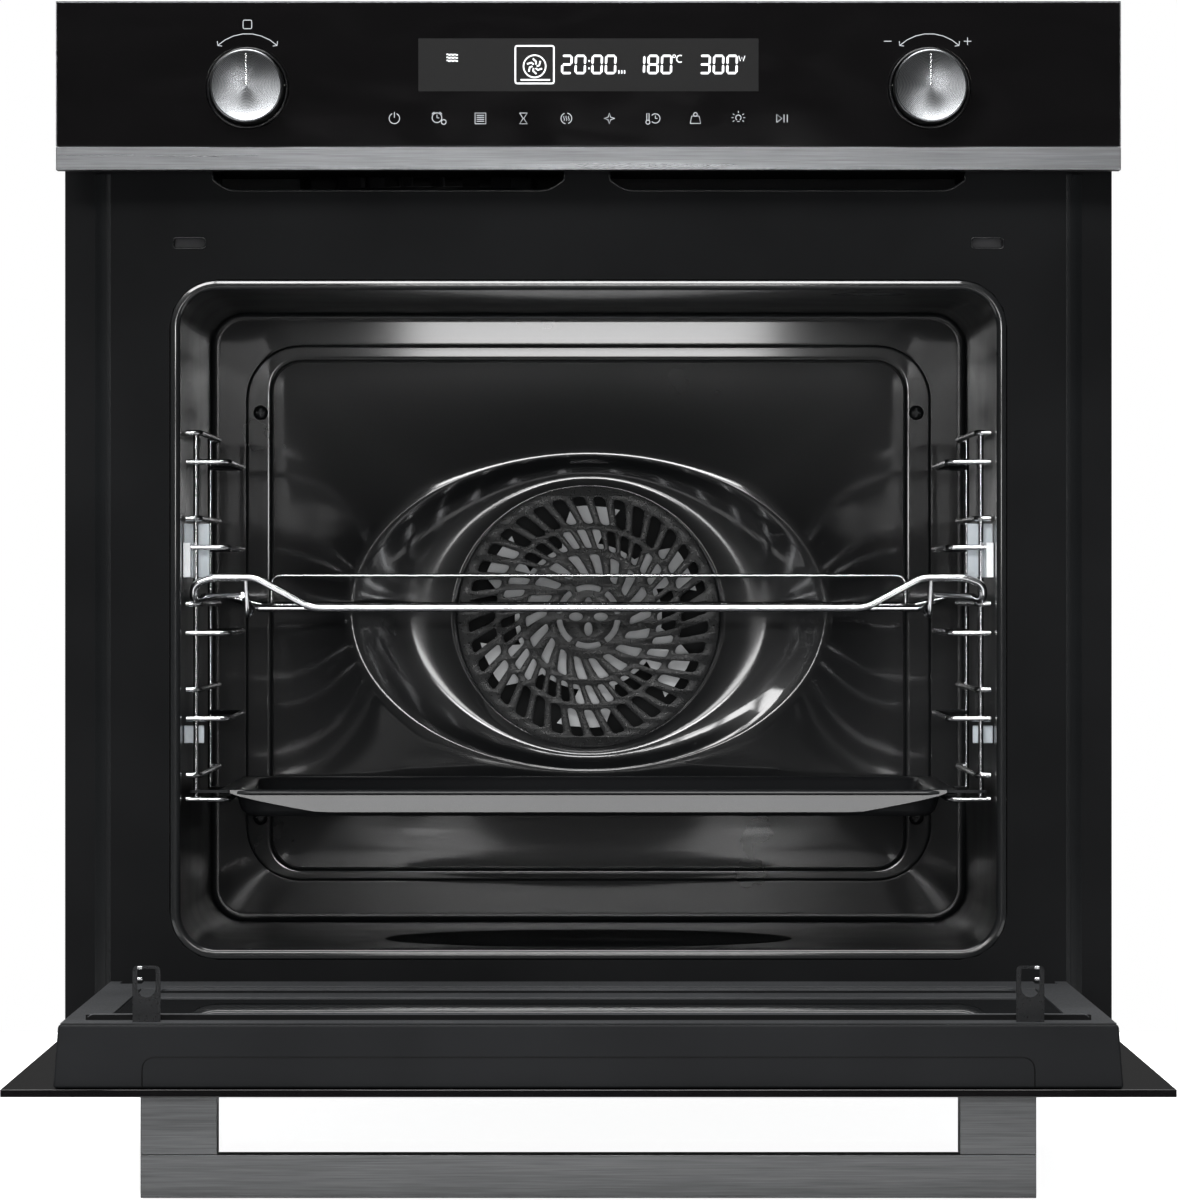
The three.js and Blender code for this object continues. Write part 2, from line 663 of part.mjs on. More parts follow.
function terminalBox() {
  const back = Y_REAR - SHEET - GAP;
  const block = box(INLET.x - 34, INLET.x + 34, back - 34, back, INLET.z - 26, INLET.z + 26);
  const gland = bar(INLET.x, INLET.z, back - 1, Y_REAR, 11, 20);
  const bore = bar(INLET.x, INLET.z, back - 12, Y_REAR + 2, 5, 16);
  return cut(join([block, gland]), [bore]);
}

// ---------- cooling air, microwave source, electronics ----------
function coolingDuct() {
  const front = Y_FACADE + LINER + GAP;
  const plenum = box(-DUCT.half, DUCT.half, front, -70, DUCT.low, DUCT.high);
  const chamber = box(
    BLOWER.x - 80, BLOWER.x + 80, -90, BLOWER.y + 80, DUCT.low, BLOWER.top,
  );
  const inPlenum = box(
    -DUCT.half + 1, DUCT.half - 1, front - 1, -71, DUCT.low + 1, DUCT.high - 1,
  );
  const inChamber = box(
    BLOWER.x - 79, BLOWER.x + 79, -91 + 2, BLOWER.y + 79, DUCT.low + 1, BLOWER.top - 1,
  );
  const passage = box(BLOWER.x - 79, BLOWER.x + 79, -100, -60, DUCT.low + 1, DUCT.high - 1);
  const inlet = post(BLOWER.x, BLOWER.y, BLOWER.top - 5, BLOWER.top + 5, 46, 24);
  const shell = cut(join([plenum, chamber]), [inPlenum, inChamber, passage, inlet]);
  return shell.add(post(BLOWER.x, BLOWER.y, DUCT.low + 0.5, DUCT.low + 16, 18, 20));
}

function blowerWheel() {
  const [low, high] = [DUCT.low + 6, BLOWER.top - 6];
  const disc = post(BLOWER.x, BLOWER.y, DUCT.low + 18, DUCT.low + 20, BLOWER.r, 32);
  const collar = post(BLOWER.x, BLOWER.y, low, DUCT.low + 19, 24, 20);
  const inside = post(BLOWER.x, BLOWER.y, low - 1, DUCT.low + 18, 20, 20);
  const blades = [];
  const count = 16;
  for (let i = 0; i < count; i++) {
    const geometry = new THREE.BoxGeometry(12, 1.4, high - DUCT.low - 19);
    geometry.rotateZ(0.5);
    geometry.translate(BLOWER.r - 8, 0, (high + DUCT.low + 19) / 2);
    geometry.rotateZ((2 * Math.PI * i) / count);
    geometry.translate(BLOWER.x, BLOWER.y, 0);
    blades.push(solid(geometry));
  }
  return join([cut(join([disc, collar]), [inside]), ...blades]);
}

function waveguide() {
  const { x, y } = MAGNETRON;
  const [low, high] = [CAVITY.high + LINER + GAP, 482];
  const chimney = box(x - 19, x + 19, y - 19, y + 19, low, 470);
  const chest = box(x - 45, x + 30, y - 30, y + 60, 464, high);
  const inChimney = box(x - 18, x + 18, y - 18, y + 18, low - 1, 472);
  const inChest = box(x - 44, x + 29, y - 29, y + 59, 465, high - 1);
  return cut(join([chimney, chest]), [inChimney, inChest]);
}

function magnetron() {
  const { x, y } = MAGNETRON;
  const base = box(x - 40, x + 28, y - 20, y + 60, 482 + GAP, 492);
  const core = box(x - 30, x + 20, y - 10, y + 50, 491, 560);
  const fins = [];
  for (let i = 0; i < 5; i++)
    fins.push(box(x - 40, x + 28, y - 20, y + 60, 500 + i * 11, 502 + i * 11));
  return join([base, core, ...fins]);
}

function powerSupply() {
  const tray = box(20, 110, 100, 240, 500, 502);
  const coil = box(40, 90, 170, 225, 501, 545);
  const sink = box(30, 60, 110, 160, 501, 530);
  const caps = [0, 1, 2].map((i) => post(78, 118 + i * 20, 501, 528, 8, 12));
  return join([tray, coil, sink, ...caps]);
}

// ---------- control panel ----------
const DISPLAY = { half: 95, low: 544.7, high: 574.3 };

function panelGlass() {
  const pane = box(-FRONT_HALF, FRONT_HALF, Y_PANEL, Y_PANEL + GLASS, STRIP.high + GAP, FRONT_TOP);
  const holes = [-1, 1].map((side) =>
    bar(side * KNOB.x, KNOB.z, Y_PANEL - 1, Y_PANEL + 10, COLLAR_R + GAP, 32),
  );
  return cut(pane, holes);
}

function trimStrip() {
  const strip = box(-FRONT_HALF, FRONT_HALF, Y_PANEL, Y_PANEL + 16, STRIP.low, STRIP.high);
  const hollow = box(-FRONT_HALF + 2, FRONT_HALF - 2, Y_PANEL + 2, Y_PANEL + 20,
    STRIP.low + 2, STRIP.high - 2);
  return cut(strip, [hollow]);
}

function panelCarrier() {
  const front = Y_PANEL + GLASS + GAP;
  const [low, high] = [STRIP.high + GAP, FRONT_TOP - 1];
  const shell = box(-FRONT_HALF + 1, FRONT_HALF - 1, front, Y_FACADE - GAP, low, high);
  const hollow = box(-FRONT_HALF + 3, FRONT_HALF - 3, front + 2, Y_FACADE + 5, low + 2, high - 2);
  const window = box(-DISPLAY.half, DISPLAY.half, front - 1, front + 5, DISPLAY.low, DISPLAY.high);
  const holes = [-1, 1].map((side) =>
    bar(side * KNOB.x, KNOB.z, front - 1, front + 5, COLLAR_R + GAP, 32),
  );
  return cut(shell, [hollow, window, ...holes]);
}

function displayModule() {
  const front = Y_PANEL + GLASS + 0.8;
  const { half, low, high } = DISPLAY;
  const tube = box(-half + 1, half - 1, front, front + 12, low + 1, high - 1);
  const board = box(-125, 125, front + 11, front + 12.6, 520, 588);
  return join([tube, board]);
}

function knobBezel(side) {
  const x = side * KNOB.x;
  const sleeve = bar(x, KNOB.z, Y_PANEL - 0.8, Y_PANEL + 20, COLLAR_R, 32);
  const bore = bar(x, KNOB.z, Y_PANEL - 2, Y_PANEL + 30, KNOB.r + 0.6, 32);
  return cut(sleeve, [bore]);
}

function encoder(side) {
  const x = side * KNOB.x;
  const front = KNOB.back + KNOB_TRAVEL + 1;
  const body = box(x - 13, x + 13, front, Y_FACADE + 6, KNOB.z - 13, KNOB.z + 13);
  return cut(body, [bar(x, KNOB.z, front - 1, front + 9, 3.4, 12)]);
}

function knobShaft(side) {
  const x = side * KNOB.x;
  const front = KNOB.back + KNOB_TRAVEL + 1;
  const rod = bar(x, KNOB.z, KNOB.back - 9, front + 8, 3, 12);
  const flatSide = box(x - 5, x + 5, KNOB.back - 10, KNOB.back + 12, KNOB.z + 2, KNOB.z + 5);
  return cut(rod, [flatSide]);
}

function knob(side) {
  const x = side * KNOB.x;
  const profile = [
    [0, KNOB.front + 0.8],
    [KNOB.r - 2.2, KNOB.front + 0.8],
    [KNOB.r - 1.2, KNOB.front],
    [KNOB.r - 0.4, KNOB.front],
    [KNOB.r, KNOB.front + 0.6],
    [KNOB.r, KNOB.back],
    [0, KNOB.back],
  ];
  const points = profile.map(([r, y]) => new THREE.Vector2(r, y));
  const body = new THREE.LatheGeometry(points, 28);
  body.translate(x, 0, KNOB.z);
  const boss = bar(x, KNOB.z, KNOB.back - 9 - KNOB_TRAVEL - 0.4, KNOB.back + 1, 3.4, 12);
  const ringOuter = bar(x, KNOB.z, KNOB.front + 4, KNOB.back + 1, KNOB.r - 2, 24);
  const ringInner = bar(x, KNOB.z, KNOB.front + 3, KNOB.back + 2, 6, 12);
  return cut(solid(body), [boss, cut(ringOuter, [ringInner])]);
}

// ---------- side racks ----------
const holderSpots = [
  { name: "upper", x0: 215, low: 273, high: 292 },
  { name: "lower", x0: 218, low: 179, high: 189 },
];

function sideRack(side) {
  const { wire: r, front, back, upright: out, rearUpright } = RACK;
  const turn = (route) => (side > 0 ? route : mirrored(route));
  const parts = [];
  const topWire = GUARD.levels[GUARD.levels.length - 1];
  for (const [x, y] of [[out, front], [rearUpright, back + r]])
    parts.push(wire(turn([[x, y, SUPPORT.lowest], [x, y, topWire]]), r));
  GUARD.levels.forEach((z, level) => {
    const below = level ? z - SUPPORT.below : SUPPORT.lowest;
    parts.push(wire(turn([
      [out + 4, front - 4, z],
      [GUARD.x, front - 1, z],
      [GUARD.x, back + 1, z],
      [out + 4, back + 4, z],
    ]), r, 4));
    parts.push(wire(turn([
      [out + 1, front, below],
      [SUPPORT.x, front + 8, below],
      [SUPPORT.x, back - 8, below],
      [out + 1, back, below],
    ]), r, 7));
  });
  return join(parts);
}

function rackHolder(side, { x0, low, high }) {
  const wall = CAVITY.half - GAP;
  const { front, upright: out, wire: r } = RACK;
  const block = sideBox(side, x0, wall, front - 7, front + 7, low, high);
  const parts = [block];
  if (high - low > 15) parts.push(sideBox(side, 225, wall, front - 7, front + 7, high - 1, 304));
  const room = r + GAP;
  const channel = sideBox(side, out - room, out + room, front - room, front + room, 100, 400);
  const clear = GUARD.levels.flatMap((z) => [
    sideBox(side, 200, wall + 1, front - 8, front + 8, z - room - 1, z + room + 1),
    sideBox(side, 200, out + room, front - 8, front + 8,
      z - SUPPORT.below - room, z - SUPPORT.below + room),
  ]);
  return cut(join(parts), [channel, ...clear]);
}

// ---------- wire shelf ----------
function wireShelf() {
  const { rail, z, wire: r, front, back, floor, ends, inner } = SHELF;
  const outline = [
    [205, back, floor + 1],
    [rail, back, z],
    [rail, front + 4, z],
    [210, front, ends],
    [186, front, ends],
    [156.5, front, floor],
  ];
  const frontWire = wire([...outline, ...mirrored(outline).reverse()], r, 8);
  const rearWire = wire([[205, back, floor + 1], [-205, back, floor + 1]], r);
  const stopY = back - 42;
  const stop = wire([
    [inner, stopY, floor], [inner, stopY, 274.5], [-inner, stopY, 274.5], [-inner, stopY, floor],
  ], 1.2, 5);
  const parts = [frontWire, rearWire, stop];
  const keeper = { z: 251, reach: 40 }; // the tooth that stops the shelf at the front
  const routes = [
    { r: 1.6, bend: 8, path: [
      [inner + 5, front + 4, z + 1],
      [inner, front + 30, floor],
      [inner, back, floor + 1],
    ] },
    { r: 1.4, bend: 5, path: [
      [inner + 3, front, ends],
      [inner + 2, front + 3, keeper.z],
      [inner + 2, front + keeper.reach, keeper.z],
      [inner, front + keeper.reach + 4, floor],
    ] },
    { r: 1.4, bend: 0, path: [[inner + 5, front + 5, z + 1], [rail, front + 14, z]] },
    { r: 1.4, bend: 0, path: [[inner, stopY, floor], [rail, stopY, z]] },
  ];
  for (const side of [-1, 1])
    for (const { r: radius, bend, path } of routes)
      parts.push(wire(side > 0 ? path : mirrored(path), radius, bend));
  for (let i = 0; i < SHELF.bars; i++) {
    const x = (i - (SHELF.bars - 1) / 2) * SHELF.pitch;
    parts.push(wire([[x, front, floor], [x, back, floor + 1]], 1.25, 0, 4));
  }
  for (const y of [front + 90, front + 210])
    parts.push(wire([[inner, y, floor - 0.5], [-inner, y, floor - 0.5]], 1.6, 0, 4));
  return join(parts);
}

// ---------- baking tray ----------
function bakingTray() {
  const [front, back] = [Y_FACADE + 22, Y_FACADE + 380];
  const middle = (front + back) / 2;
  const deep = (back - front) / 2;
  const ring = (half, grow, r, z) => (angle) => {
    const [x, y] = onRoundedRect(half, deep + grow, r, middle, angle);
    return [x, y, z];
  };
  const { half, foot, flange, top, bottom } = TRAY;
  const floorZ = bottom + 1.4;
  const rings = [
    ring(flange, -2, 16, top),
    ring(half + 4, -14, 16, top),
    ring(half, -17, 16, top - 2),
    ring(foot + 1, -23, 14, floorZ + 3),
    ring(foot - 3, -27, 12, floorZ),
    ring(foot - 3, -27, 12, bottom),
    ring(foot + 2, -22, 14, floorZ + 1.6),
    ring(half + 1.6, -15.4, 16, top - 3.2),
    ring(half + 5, -13, 16, top - 1.4),
    ring(flange, -2, 16, top - 1.4),
  ];
  const walls = pressed(rings, 28);
  const floor = flat(roundedRect(-foot + 4, foot - 4, middle - deep + 28, middle + deep - 28, 12),
    bottom, floorZ, 2);
  const lip = box(-flange, flange, front, front + 4, top - 3, top);
  const parts = [walls, floor, lip];
  for (const side of [-1, 1])
    parts.push(sideBox(side, flange - 6, TRAY.ear, front, front + 5, top - 1.6, top));
  return join(parts);
}

// ---------- door, lying open ----------
const doorSection = (grow = 0) => polygon([
  [-271 + grow, DOOR_FACE + GLASS + GAP],
  [271 - grow, DOOR_FACE + GLASS + GAP],
  [268.5 - grow, LINER_TOP],
  [-268.5 + grow, LINER_TOP],
]);

function doorTrim() {
  const near = LINER_NEAR;
  const cap = upright(doorSection(), near, near + TRIM_DEPTH);
  const hollow = upright(polygon([[-258, 17], [258, 17], [258, 42], [-258, 42]]),
    near + 2.5, near + TRIM_DEPTH + 1);
  return cut(cap, [hollow]);
}

function doorLiner() {
  const near = LINER_NEAR + TRIM_DEPTH + GAP;
  const body = upright(doorSection(), near, LINER_FAR);
  const { half, near: wNear, far } = WINDOW;
  const through = box(-half - GAP, half + GAP, wNear - GAP, far + GAP, 0, 60);
  const strip = flat(roundedRect(-257, 257, wNear - 9, wNear - 0.6, 3), LINER_TOP - 1, 48.9);
  const holes = [through];
  for (const side of [-1, 1]) {
    holes.push(sideBox(side, 249.9, 262.1, -304, LINER_FAR + 1, 0, 60));
    holes.push(sideBox(side, 249.9, 262.1, -424, -303, 0, 44));
    holes.push(sideBox(
      side, HOOK.x - 7.6, HOOK.x + 7.6, HOOK.y - 1, HOOK.y + 1, HOOK.root - 1, 60,
    ));
  }
  // hollow hinge-side border, open underneath
  holes.push(box(-244, 244, far + 6, LINER_FAR - 4, 0, 42));
  const vent = box(-235, 235, far + 14, far + 22, 30, 60);
  return cut(join([body, strip]), [...holes, vent]);
}

function pane(z) {
  const { half, near, far } = WINDOW;
  return box(-half, half, near, far, z, z + GLASS);
}

function outerGlass() {
  return box(-FRONT_HALF, FRONT_HALF, DOOR_NEAR, DOOR_FAR, DOOR_FACE, DOOR_FACE + GLASS);
}

function handle() {
  const { half, post: wide, reach, bar: thick, near, depth } = HANDLE;
  const low = DOOR_FACE - reach;
  const parts = [box(-half, half, near, near + depth, low, low + thick)];
  for (const side of [-1, 1])
    parts.push(sideBox(side, half - wide, half, near, near + depth, low + thick - 1,
      DOOR_FACE - GAP));
  return join(parts);
}

function latchHook(side) {
  const x = side * HOOK.x;
  const w = HOOK.width / 2;
  const { y, top, root, sheet } = HOOK;
  const plate = roundedRect(x - w, x + w, root, top, 2.5);
  const inner = 9.3 / 2;
  const hole = new THREE.Path();
  hole.moveTo(x - inner, top - 1.4);
  hole.lineTo(x - inner, 58.5 + inner);
  hole.absarc(x, 58.5 + inner, inner, Math.PI, 2 * Math.PI);
  hole.lineTo(x + inner, top - 1.4);
  plate.holes.push(hole);
  return upright(plate, y - sheet / 2, y + sheet / 2, 3);
}

function hingeLeaf(side) {
  const [x0, x1] = [HINGE.x - 5.6, HINGE.x + 5.6];
  const block = sideBox(side, x0, x1, -420, HINGE.y + 8, 15, 43.6);
  const slotBox = sideBox(side, x0 + 2, x1 - 2, -419, HINGE.y + 9, 17, 44);
  const [a, b] = side > 0 ? [x0 + 1, x1 - 1] : [-x1 + 1, -x0 - 1];
  return cut(block, [slotBox]).add(pin(a, b, HINGE.y, HINGE.z, 3));
}

function hingeMount(side) {
  const arm = new THREE.Shape();
  arm.absarc(HINGE.y, HINGE.z, 8, Math.PI / 2, Math.PI * 1.5);
  arm.lineTo(-228, HINGE.z - 7.5);
  arm.lineTo(-228, HINGE.z + 7.5);
  const bore = new THREE.Path();
  bore.absarc(HINGE.y, HINGE.z, 3 + GAP, 0, 2 * Math.PI);
  arm.holes.push(bore);
  const [a, b] = side > 0 ? [HINGE.x - 1.5, HINGE.x + 1.5] : [-HINGE.x - 1.5, -HINGE.x + 1.5];
  const start = Y_FACADE + LINER + GAP;
  const receiver = sideBox(side, HINGE.x - 7, HINGE.x + 7, start, -225, 12, 46);
  return join([sideways(arm, a, b, 6), receiver]);
}

function latchSwitch(side) {
  const start = Y_FACADE + LINER + GAP;
  const body = sideBox(side, 212, 238, start, -222, 450, 474);
  const mouth = sideBox(side, 215.5, 234.5, start - 1, -232, 455.5, 467.5);
  return cut(body, [mouth]);
}

// ---------- assembly ----------
const SIDES = [["left", -1], ["right", 1]];

add("cavity_liner", cavityLiner(), ENAMEL);
add("front_frame", frontFrame(), MATT_BLACK);
add("fan_cover", fanCover(), ENAMEL);
for (const screw of SCREWS) add("cover_screw_" + screw.name, coverScrew(screw), ZINC);
add("fan_chamber", fanChamber(), ZINC);
add("ring_heater", ringHeater(), ELEMENT);
add("fan_motor", fanMotor(), ZINC);
add("fan_wheel", fanWheel(), BLADE);
add("insulation", insulation(), WOOL);
add("top_heater", flatHeater(CAVITY.high + 8, 5, 62, -180, -30), ELEMENT);
add("bottom_heater", flatHeater(CAVITY.low - 9, 5, 74, -180, 90), ELEMENT);
add("lamp_glass", lampGlass(), CLEAR_GLASS);

for (const [name, side] of SIDES) add("side_panel_" + name, sidePanel(side), ZINC);
add("top_cover", topCover(), ZINC);
add("base_plate", basePlate(), ZINC);
add("rear_cover", rearCover(), ZINC);
add("terminal_box", terminalBox(), PLASTIC);

add("cooling_duct", coolingDuct(), ZINC);
add("blower_wheel", blowerWheel(), PLASTIC);
add("waveguide", waveguide(), ZINC);
add("magnetron", magnetron(), COPPER);
add("power_supply", powerSupply(), BOARD);

add("panel_glass", panelGlass(), BLACK_GLASS);
add("trim_strip", trimStrip(), BRUSHED);
add("panel_carrier", panelCarrier(), PLASTIC);
add("display_module", displayModule(), PLASTIC);
for (const [name, side] of SIDES) {
  add("knob_bezel_" + name, knobBezel(side), PLASTIC);
  add("encoder_" + name, encoder(side), PLASTIC);
  add("knob_shaft_" + name, knobShaft(side), ZINC);
  add("knob_" + name, knob(side), TURNED);
}

for (const [name, side] of SIDES) {
  add("side_rack_" + name, sideRack(side), CHROME);
  for (const spot of holderSpots)
    add("rack_holder_" + spot.name + "_" + name, rackHolder(side, spot), CERAMIC);
}
add("wire_shelf", wireShelf(), CHROME);
add("baking_tray", bakingTray(), ENAMEL);

add("outer_glass", outerGlass(), BLACK_GLASS);
add("middle_glass", pane(27), CLEAR_GLASS);
add("inner_glass", pane(LINER_TOP - 0.6 - GLASS), CLEAR_GLASS);
add("door_liner", doorLiner(), MATT_BLACK);
add("door_trim", doorTrim(), MATT_BLACK);
add("handle", handle(), BRUSHED);
for (const [name, side] of SIDES) {
  add("latch_hook_" + name, latchHook(side), ZINC);
  add("hinge_leaf_" + name, hingeLeaf(side), ZINC);
  add("hinge_mount_" + name, hingeMount(side), ZINC);
  add("latch_switch_" + name, latchSwitch(side), PLASTIC);
}

export default oven;
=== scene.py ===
"""The looks of a built-in oven with its door open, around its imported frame."""

import json
import math

import bmesh
import bpy
from mathutils import Matrix, Vector


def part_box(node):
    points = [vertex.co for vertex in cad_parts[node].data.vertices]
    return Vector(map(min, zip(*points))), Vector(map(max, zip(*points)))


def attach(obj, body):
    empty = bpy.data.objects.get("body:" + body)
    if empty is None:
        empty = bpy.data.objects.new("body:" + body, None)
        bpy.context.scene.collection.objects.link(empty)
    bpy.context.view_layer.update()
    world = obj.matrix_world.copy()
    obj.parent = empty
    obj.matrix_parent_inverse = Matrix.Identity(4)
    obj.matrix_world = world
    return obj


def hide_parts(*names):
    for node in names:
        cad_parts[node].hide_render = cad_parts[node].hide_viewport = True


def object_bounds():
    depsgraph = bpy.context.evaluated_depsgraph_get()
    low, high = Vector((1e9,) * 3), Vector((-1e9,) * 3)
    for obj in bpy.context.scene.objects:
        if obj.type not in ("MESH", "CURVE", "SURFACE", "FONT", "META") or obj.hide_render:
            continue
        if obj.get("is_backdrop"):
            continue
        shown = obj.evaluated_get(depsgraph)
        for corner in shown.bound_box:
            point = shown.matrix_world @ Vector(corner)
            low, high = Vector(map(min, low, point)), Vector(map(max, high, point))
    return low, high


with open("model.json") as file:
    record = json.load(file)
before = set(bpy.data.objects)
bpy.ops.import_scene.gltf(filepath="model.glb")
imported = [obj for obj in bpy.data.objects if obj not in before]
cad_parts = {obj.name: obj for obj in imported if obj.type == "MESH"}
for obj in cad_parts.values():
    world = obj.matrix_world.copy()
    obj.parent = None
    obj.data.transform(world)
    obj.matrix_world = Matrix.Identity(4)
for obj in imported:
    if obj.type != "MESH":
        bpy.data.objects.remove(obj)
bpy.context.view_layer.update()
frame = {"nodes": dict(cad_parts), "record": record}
MM = 0.001
SIDES = (("left", -1), ("right", 1))


def corners(node):
    """A node's lowest and highest corner, in millimetres."""
    low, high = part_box(node)
    return low / MM, high / MM


def axis_of(node):
    """The X and Z of a node's middle."""
    low, high = corners(node)
    return (low.x + high.x) / 2, (low.z + high.z) / 2


def span(side, inner, outer):
    """Two distances from the middle, as a range of X on one side."""
    return sorted((side * inner, side * outer))


def facing(side, route):
    """A route drawn at the right, turned to the side given."""
    return [(side * x, y, z) for x, y, z in route]


# ---------- shapes, in millimetres ----------
def corner_curve(before, here, after, radius, steps):
    """The curve that rounds one corner."""
    back, on = before - here, after - here
    reach = min(radius, back.length / 2.1, on.length / 2.1)
    start, end = here + back.normalized() * reach, here + on.normalized() * reach
    shares = [i / steps for i in range(steps + 1)]
    return [start * (1 - t) ** 2 + here * 2 * t * (1 - t) + end * t * t for t in shares]


def bent(route, radius, steps=6):
    """A route of straight runs with each inner corner bent to about a radius."""
    points = [Vector(p) for p in route]
    if not radius:
        return points
    out = [points[0]]
    for before, here, after in zip(points, points[1:], points[2:]):
        out += corner_curve(before, here, after, radius, steps)
    return out + [points[-1]]


def rounded(outline, radius, steps=4):
    """A closed outline in a plane, with each corner rounded."""
    points = [Vector(p) for p in outline]
    out = []
    for i, here in enumerate(points):
        out += corner_curve(points[i - 1], here, points[(i + 1) % len(points)], radius, steps)
    return out


def rectangle(x0, x1, y0, y1):
    return [(x0, y0), (x1, y0), (x1, y1), (x0, y1)]


def circle(x, y, radius, count=48, start=0.0, turn=2 * math.pi):
    """Points round a circle, or along an arc of it."""
    whole = abs(turn - 2 * math.pi) < 1e-6
    steps = count if whole else count - 1
    angles = [start + turn * i / steps for i in range(count)]
    return [(x + radius * math.cos(a), y + radius * math.sin(a)) for a in angles]


class Shape:
    """Points and faces gathered for one piece."""

    def __init__(self):
        self.points = []
        self.faces = []

    def loft(self, rings, around=True, along=False, caps=False):
        """Joins rings that have equally many points."""
        start, count = len(self.points), len(rings[0])
        for ring in rings:
            self.points.extend(tuple(p) for p in ring)
        rows = len(rings) if along else len(rings) - 1
        columns = count if around else count - 1
        for i in range(rows):
            a, b = start + i * count, start + ((i + 1) % len(rings)) * count
            for j in range(columns):
                k = (j + 1) % count
                self.faces.append((a + j, a + k, b + k, b + j))
        if caps:
            last = start + (len(rings) - 1) * count
            self.faces.append(tuple(range(start + count - 1, start - 1, -1)))
            self.faces.append(tuple(range(last, last + count)))
        return self

    def tube(self, route, radius, bend=6.0, sides=12, closed=False):
        """A round wire along a bent route."""
        path = bent(route, bend)
        count = len(path)
        rings, normal = [], None
        for i, here in enumerate(path):
            before = path[i - 1] if i or closed else here
            after = path[(i + 1) % count] if i < count - 1 or closed else here
            along = (after - before).normalized()
            if normal is None:
                normal = along.orthogonal().normalized()
            normal = (normal - along * normal.dot(along)).normalized()
            side = along.cross(normal)
            angles = [2 * math.pi * k / sides for k in range(sides)]
            rings.append([here + (normal * math.cos(a) + side * math.sin(a)) * radius for a in angles])
        return self.loft(rings, along=closed, caps=not closed)

    def block(self, low, high):
        (x0, y0, z0), (x1, y1, z1) = low, high
        ring = lambda z: [(x0, y0, z), (x1, y0, z), (x1, y1, z), (x0, y1, z)]
        return self.loft([ring(z0), ring(z1)], caps=True)

    def upright(self, outline, y0, y1):
        """An outline in X and Z, thick from y0 to y1."""
        return self.loft([[(x, y, z) for x, z in outline] for y in (y0, y1)], caps=True)

    def flat(self, outline, z0, z1):
        """An outline in X and Y, thick from z0 to z1."""
        return self.loft([[(x, y, z) for x, y in outline] for z in (z0, z1)], caps=True)

    def lathe(self, profile, x, z, count=96, closed=False):
        """A profile of [radius, y] turned about an axis along Y."""
        rings = [
            [(x + r * math.cos(a), y, z + r * math.sin(a))
             for a in (2 * math.pi * i / count for i in range(count))]
            for r, y in profile
        ]
        return self.loft(rings, along=closed)


def added(name, data):
    """A new object in the scene."""
    obj = bpy.data.objects.new(name, data)
    bpy.context.scene.collection.objects.link(obj)
    return obj


def settled(drawn, *tools):
    """The mesh that an object comes to. The object and its tools are removed."""
    bpy.context.view_layer.update()
    evaluated = drawn.evaluated_get(bpy.context.evaluated_depsgraph_get())
    mesh = bpy.data.meshes.new_from_object(evaluated)
    for obj in (drawn, *tools):
        bpy.data.objects.remove(obj)
    return mesh


def mesh_of(name, shape):
    """The mesh of a shape, in metres."""
    mesh = bpy.data.meshes.new(name)
    mesh.from_pydata([tuple(c * MM for c in p) for p in shape.points], [], shape.faces)
    tidy(mesh)
    return mesh


def tidy(mesh):
    """Merges doubled points and turns all faces outwards."""
    work = bmesh.new()
    work.from_mesh(mesh)
    bmesh.ops.remove_doubles(work, verts=work.verts, dist=1e-7)
    bmesh.ops.recalc_face_normals(work, faces=work.faces)
    work.to_mesh(mesh)
    work.free()


def plate_of(name, outlines, y, thickness, edge=0.0):
    """A plate in X and Z. The first outline is its rim and the others are holes."""
    curve = bpy.data.curves.new(name, "CURVE")
    curve.dimensions = "2D"
    curve.fill_mode = "BOTH"
    curve.extrude = (thickness / 2 - edge) * MM
    curve.bevel_depth = edge * MM
    curve.bevel_resolution = 2
    curve.offset = -edge * MM
    for outline in outlines:
        spline = curve.splines.new("POLY")
        spline.points.add(len(outline) - 1)
        for point, (x, z) in zip(spline.points, outline):
            point.co = (x * MM, z * MM, 0, 1)
        spline.use_cyclic_u = True
    mesh = settled(added(name, curve))
    bpy.data.curves.remove(curve)
    upright = Matrix.Translation((0, (y + thickness / 2) * MM, 0)) @ Matrix.Rotation(math.pi / 2, 4, "X")
    mesh.transform(upright)
    tidy(mesh)
    return mesh


HARD_ANGLE = 32


def soften(obj, width):
    """Rounds a piece's hard edges."""
    weld = obj.modifiers.new("weld", "WELD")
    weld.merge_threshold = 1e-6
    bevel = obj.modifiers.new("edges", "BEVEL")
    bevel.width = width * MM
    bevel.segments = 2
    bevel.limit_method = "ANGLE"
    bevel.angle_limit = math.radians(HARD_ANGLE)
    bevel.harden_normals = True


def piece(name, made, body, material, replaces=(), edge=0.0, sharp=HARD_ANGLE):
    """A new piece that rides on a body, and stands for the CAD nodes that it replaces."""
    mesh = mesh_of(name, made) if isinstance(made, Shape) else made
    mesh.name = name
    mesh.materials.clear()
    mesh.materials.append(material)
    mesh.shade_smooth()
    mesh.set_sharp_from_angle(angle=math.radians(sharp))
    obj = added(name, mesh)
    if edge:
        soften(obj, edge)
    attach(obj, body)
    if replaces:
        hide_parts(*replaces)
    return obj


def carved(name, made, cutters):
    """The mesh of a closed shape with other closed shapes cut from it."""
    body = added(name, mesh_of(name, made))
    tools = []
    for i, cutter in enumerate(cutters):
        tool = f"{name}_cut{i}"
        tools.append(added(tool, mesh_of(tool, cutter)))
        step = body.modifiers.new("cut", "BOOLEAN")
        step.object = tools[-1]
        step.operation = "DIFFERENCE"
        step.solver = "EXACT"
    return settled(body, *tools)


# ---------- materials ----------
PAINTS = {}


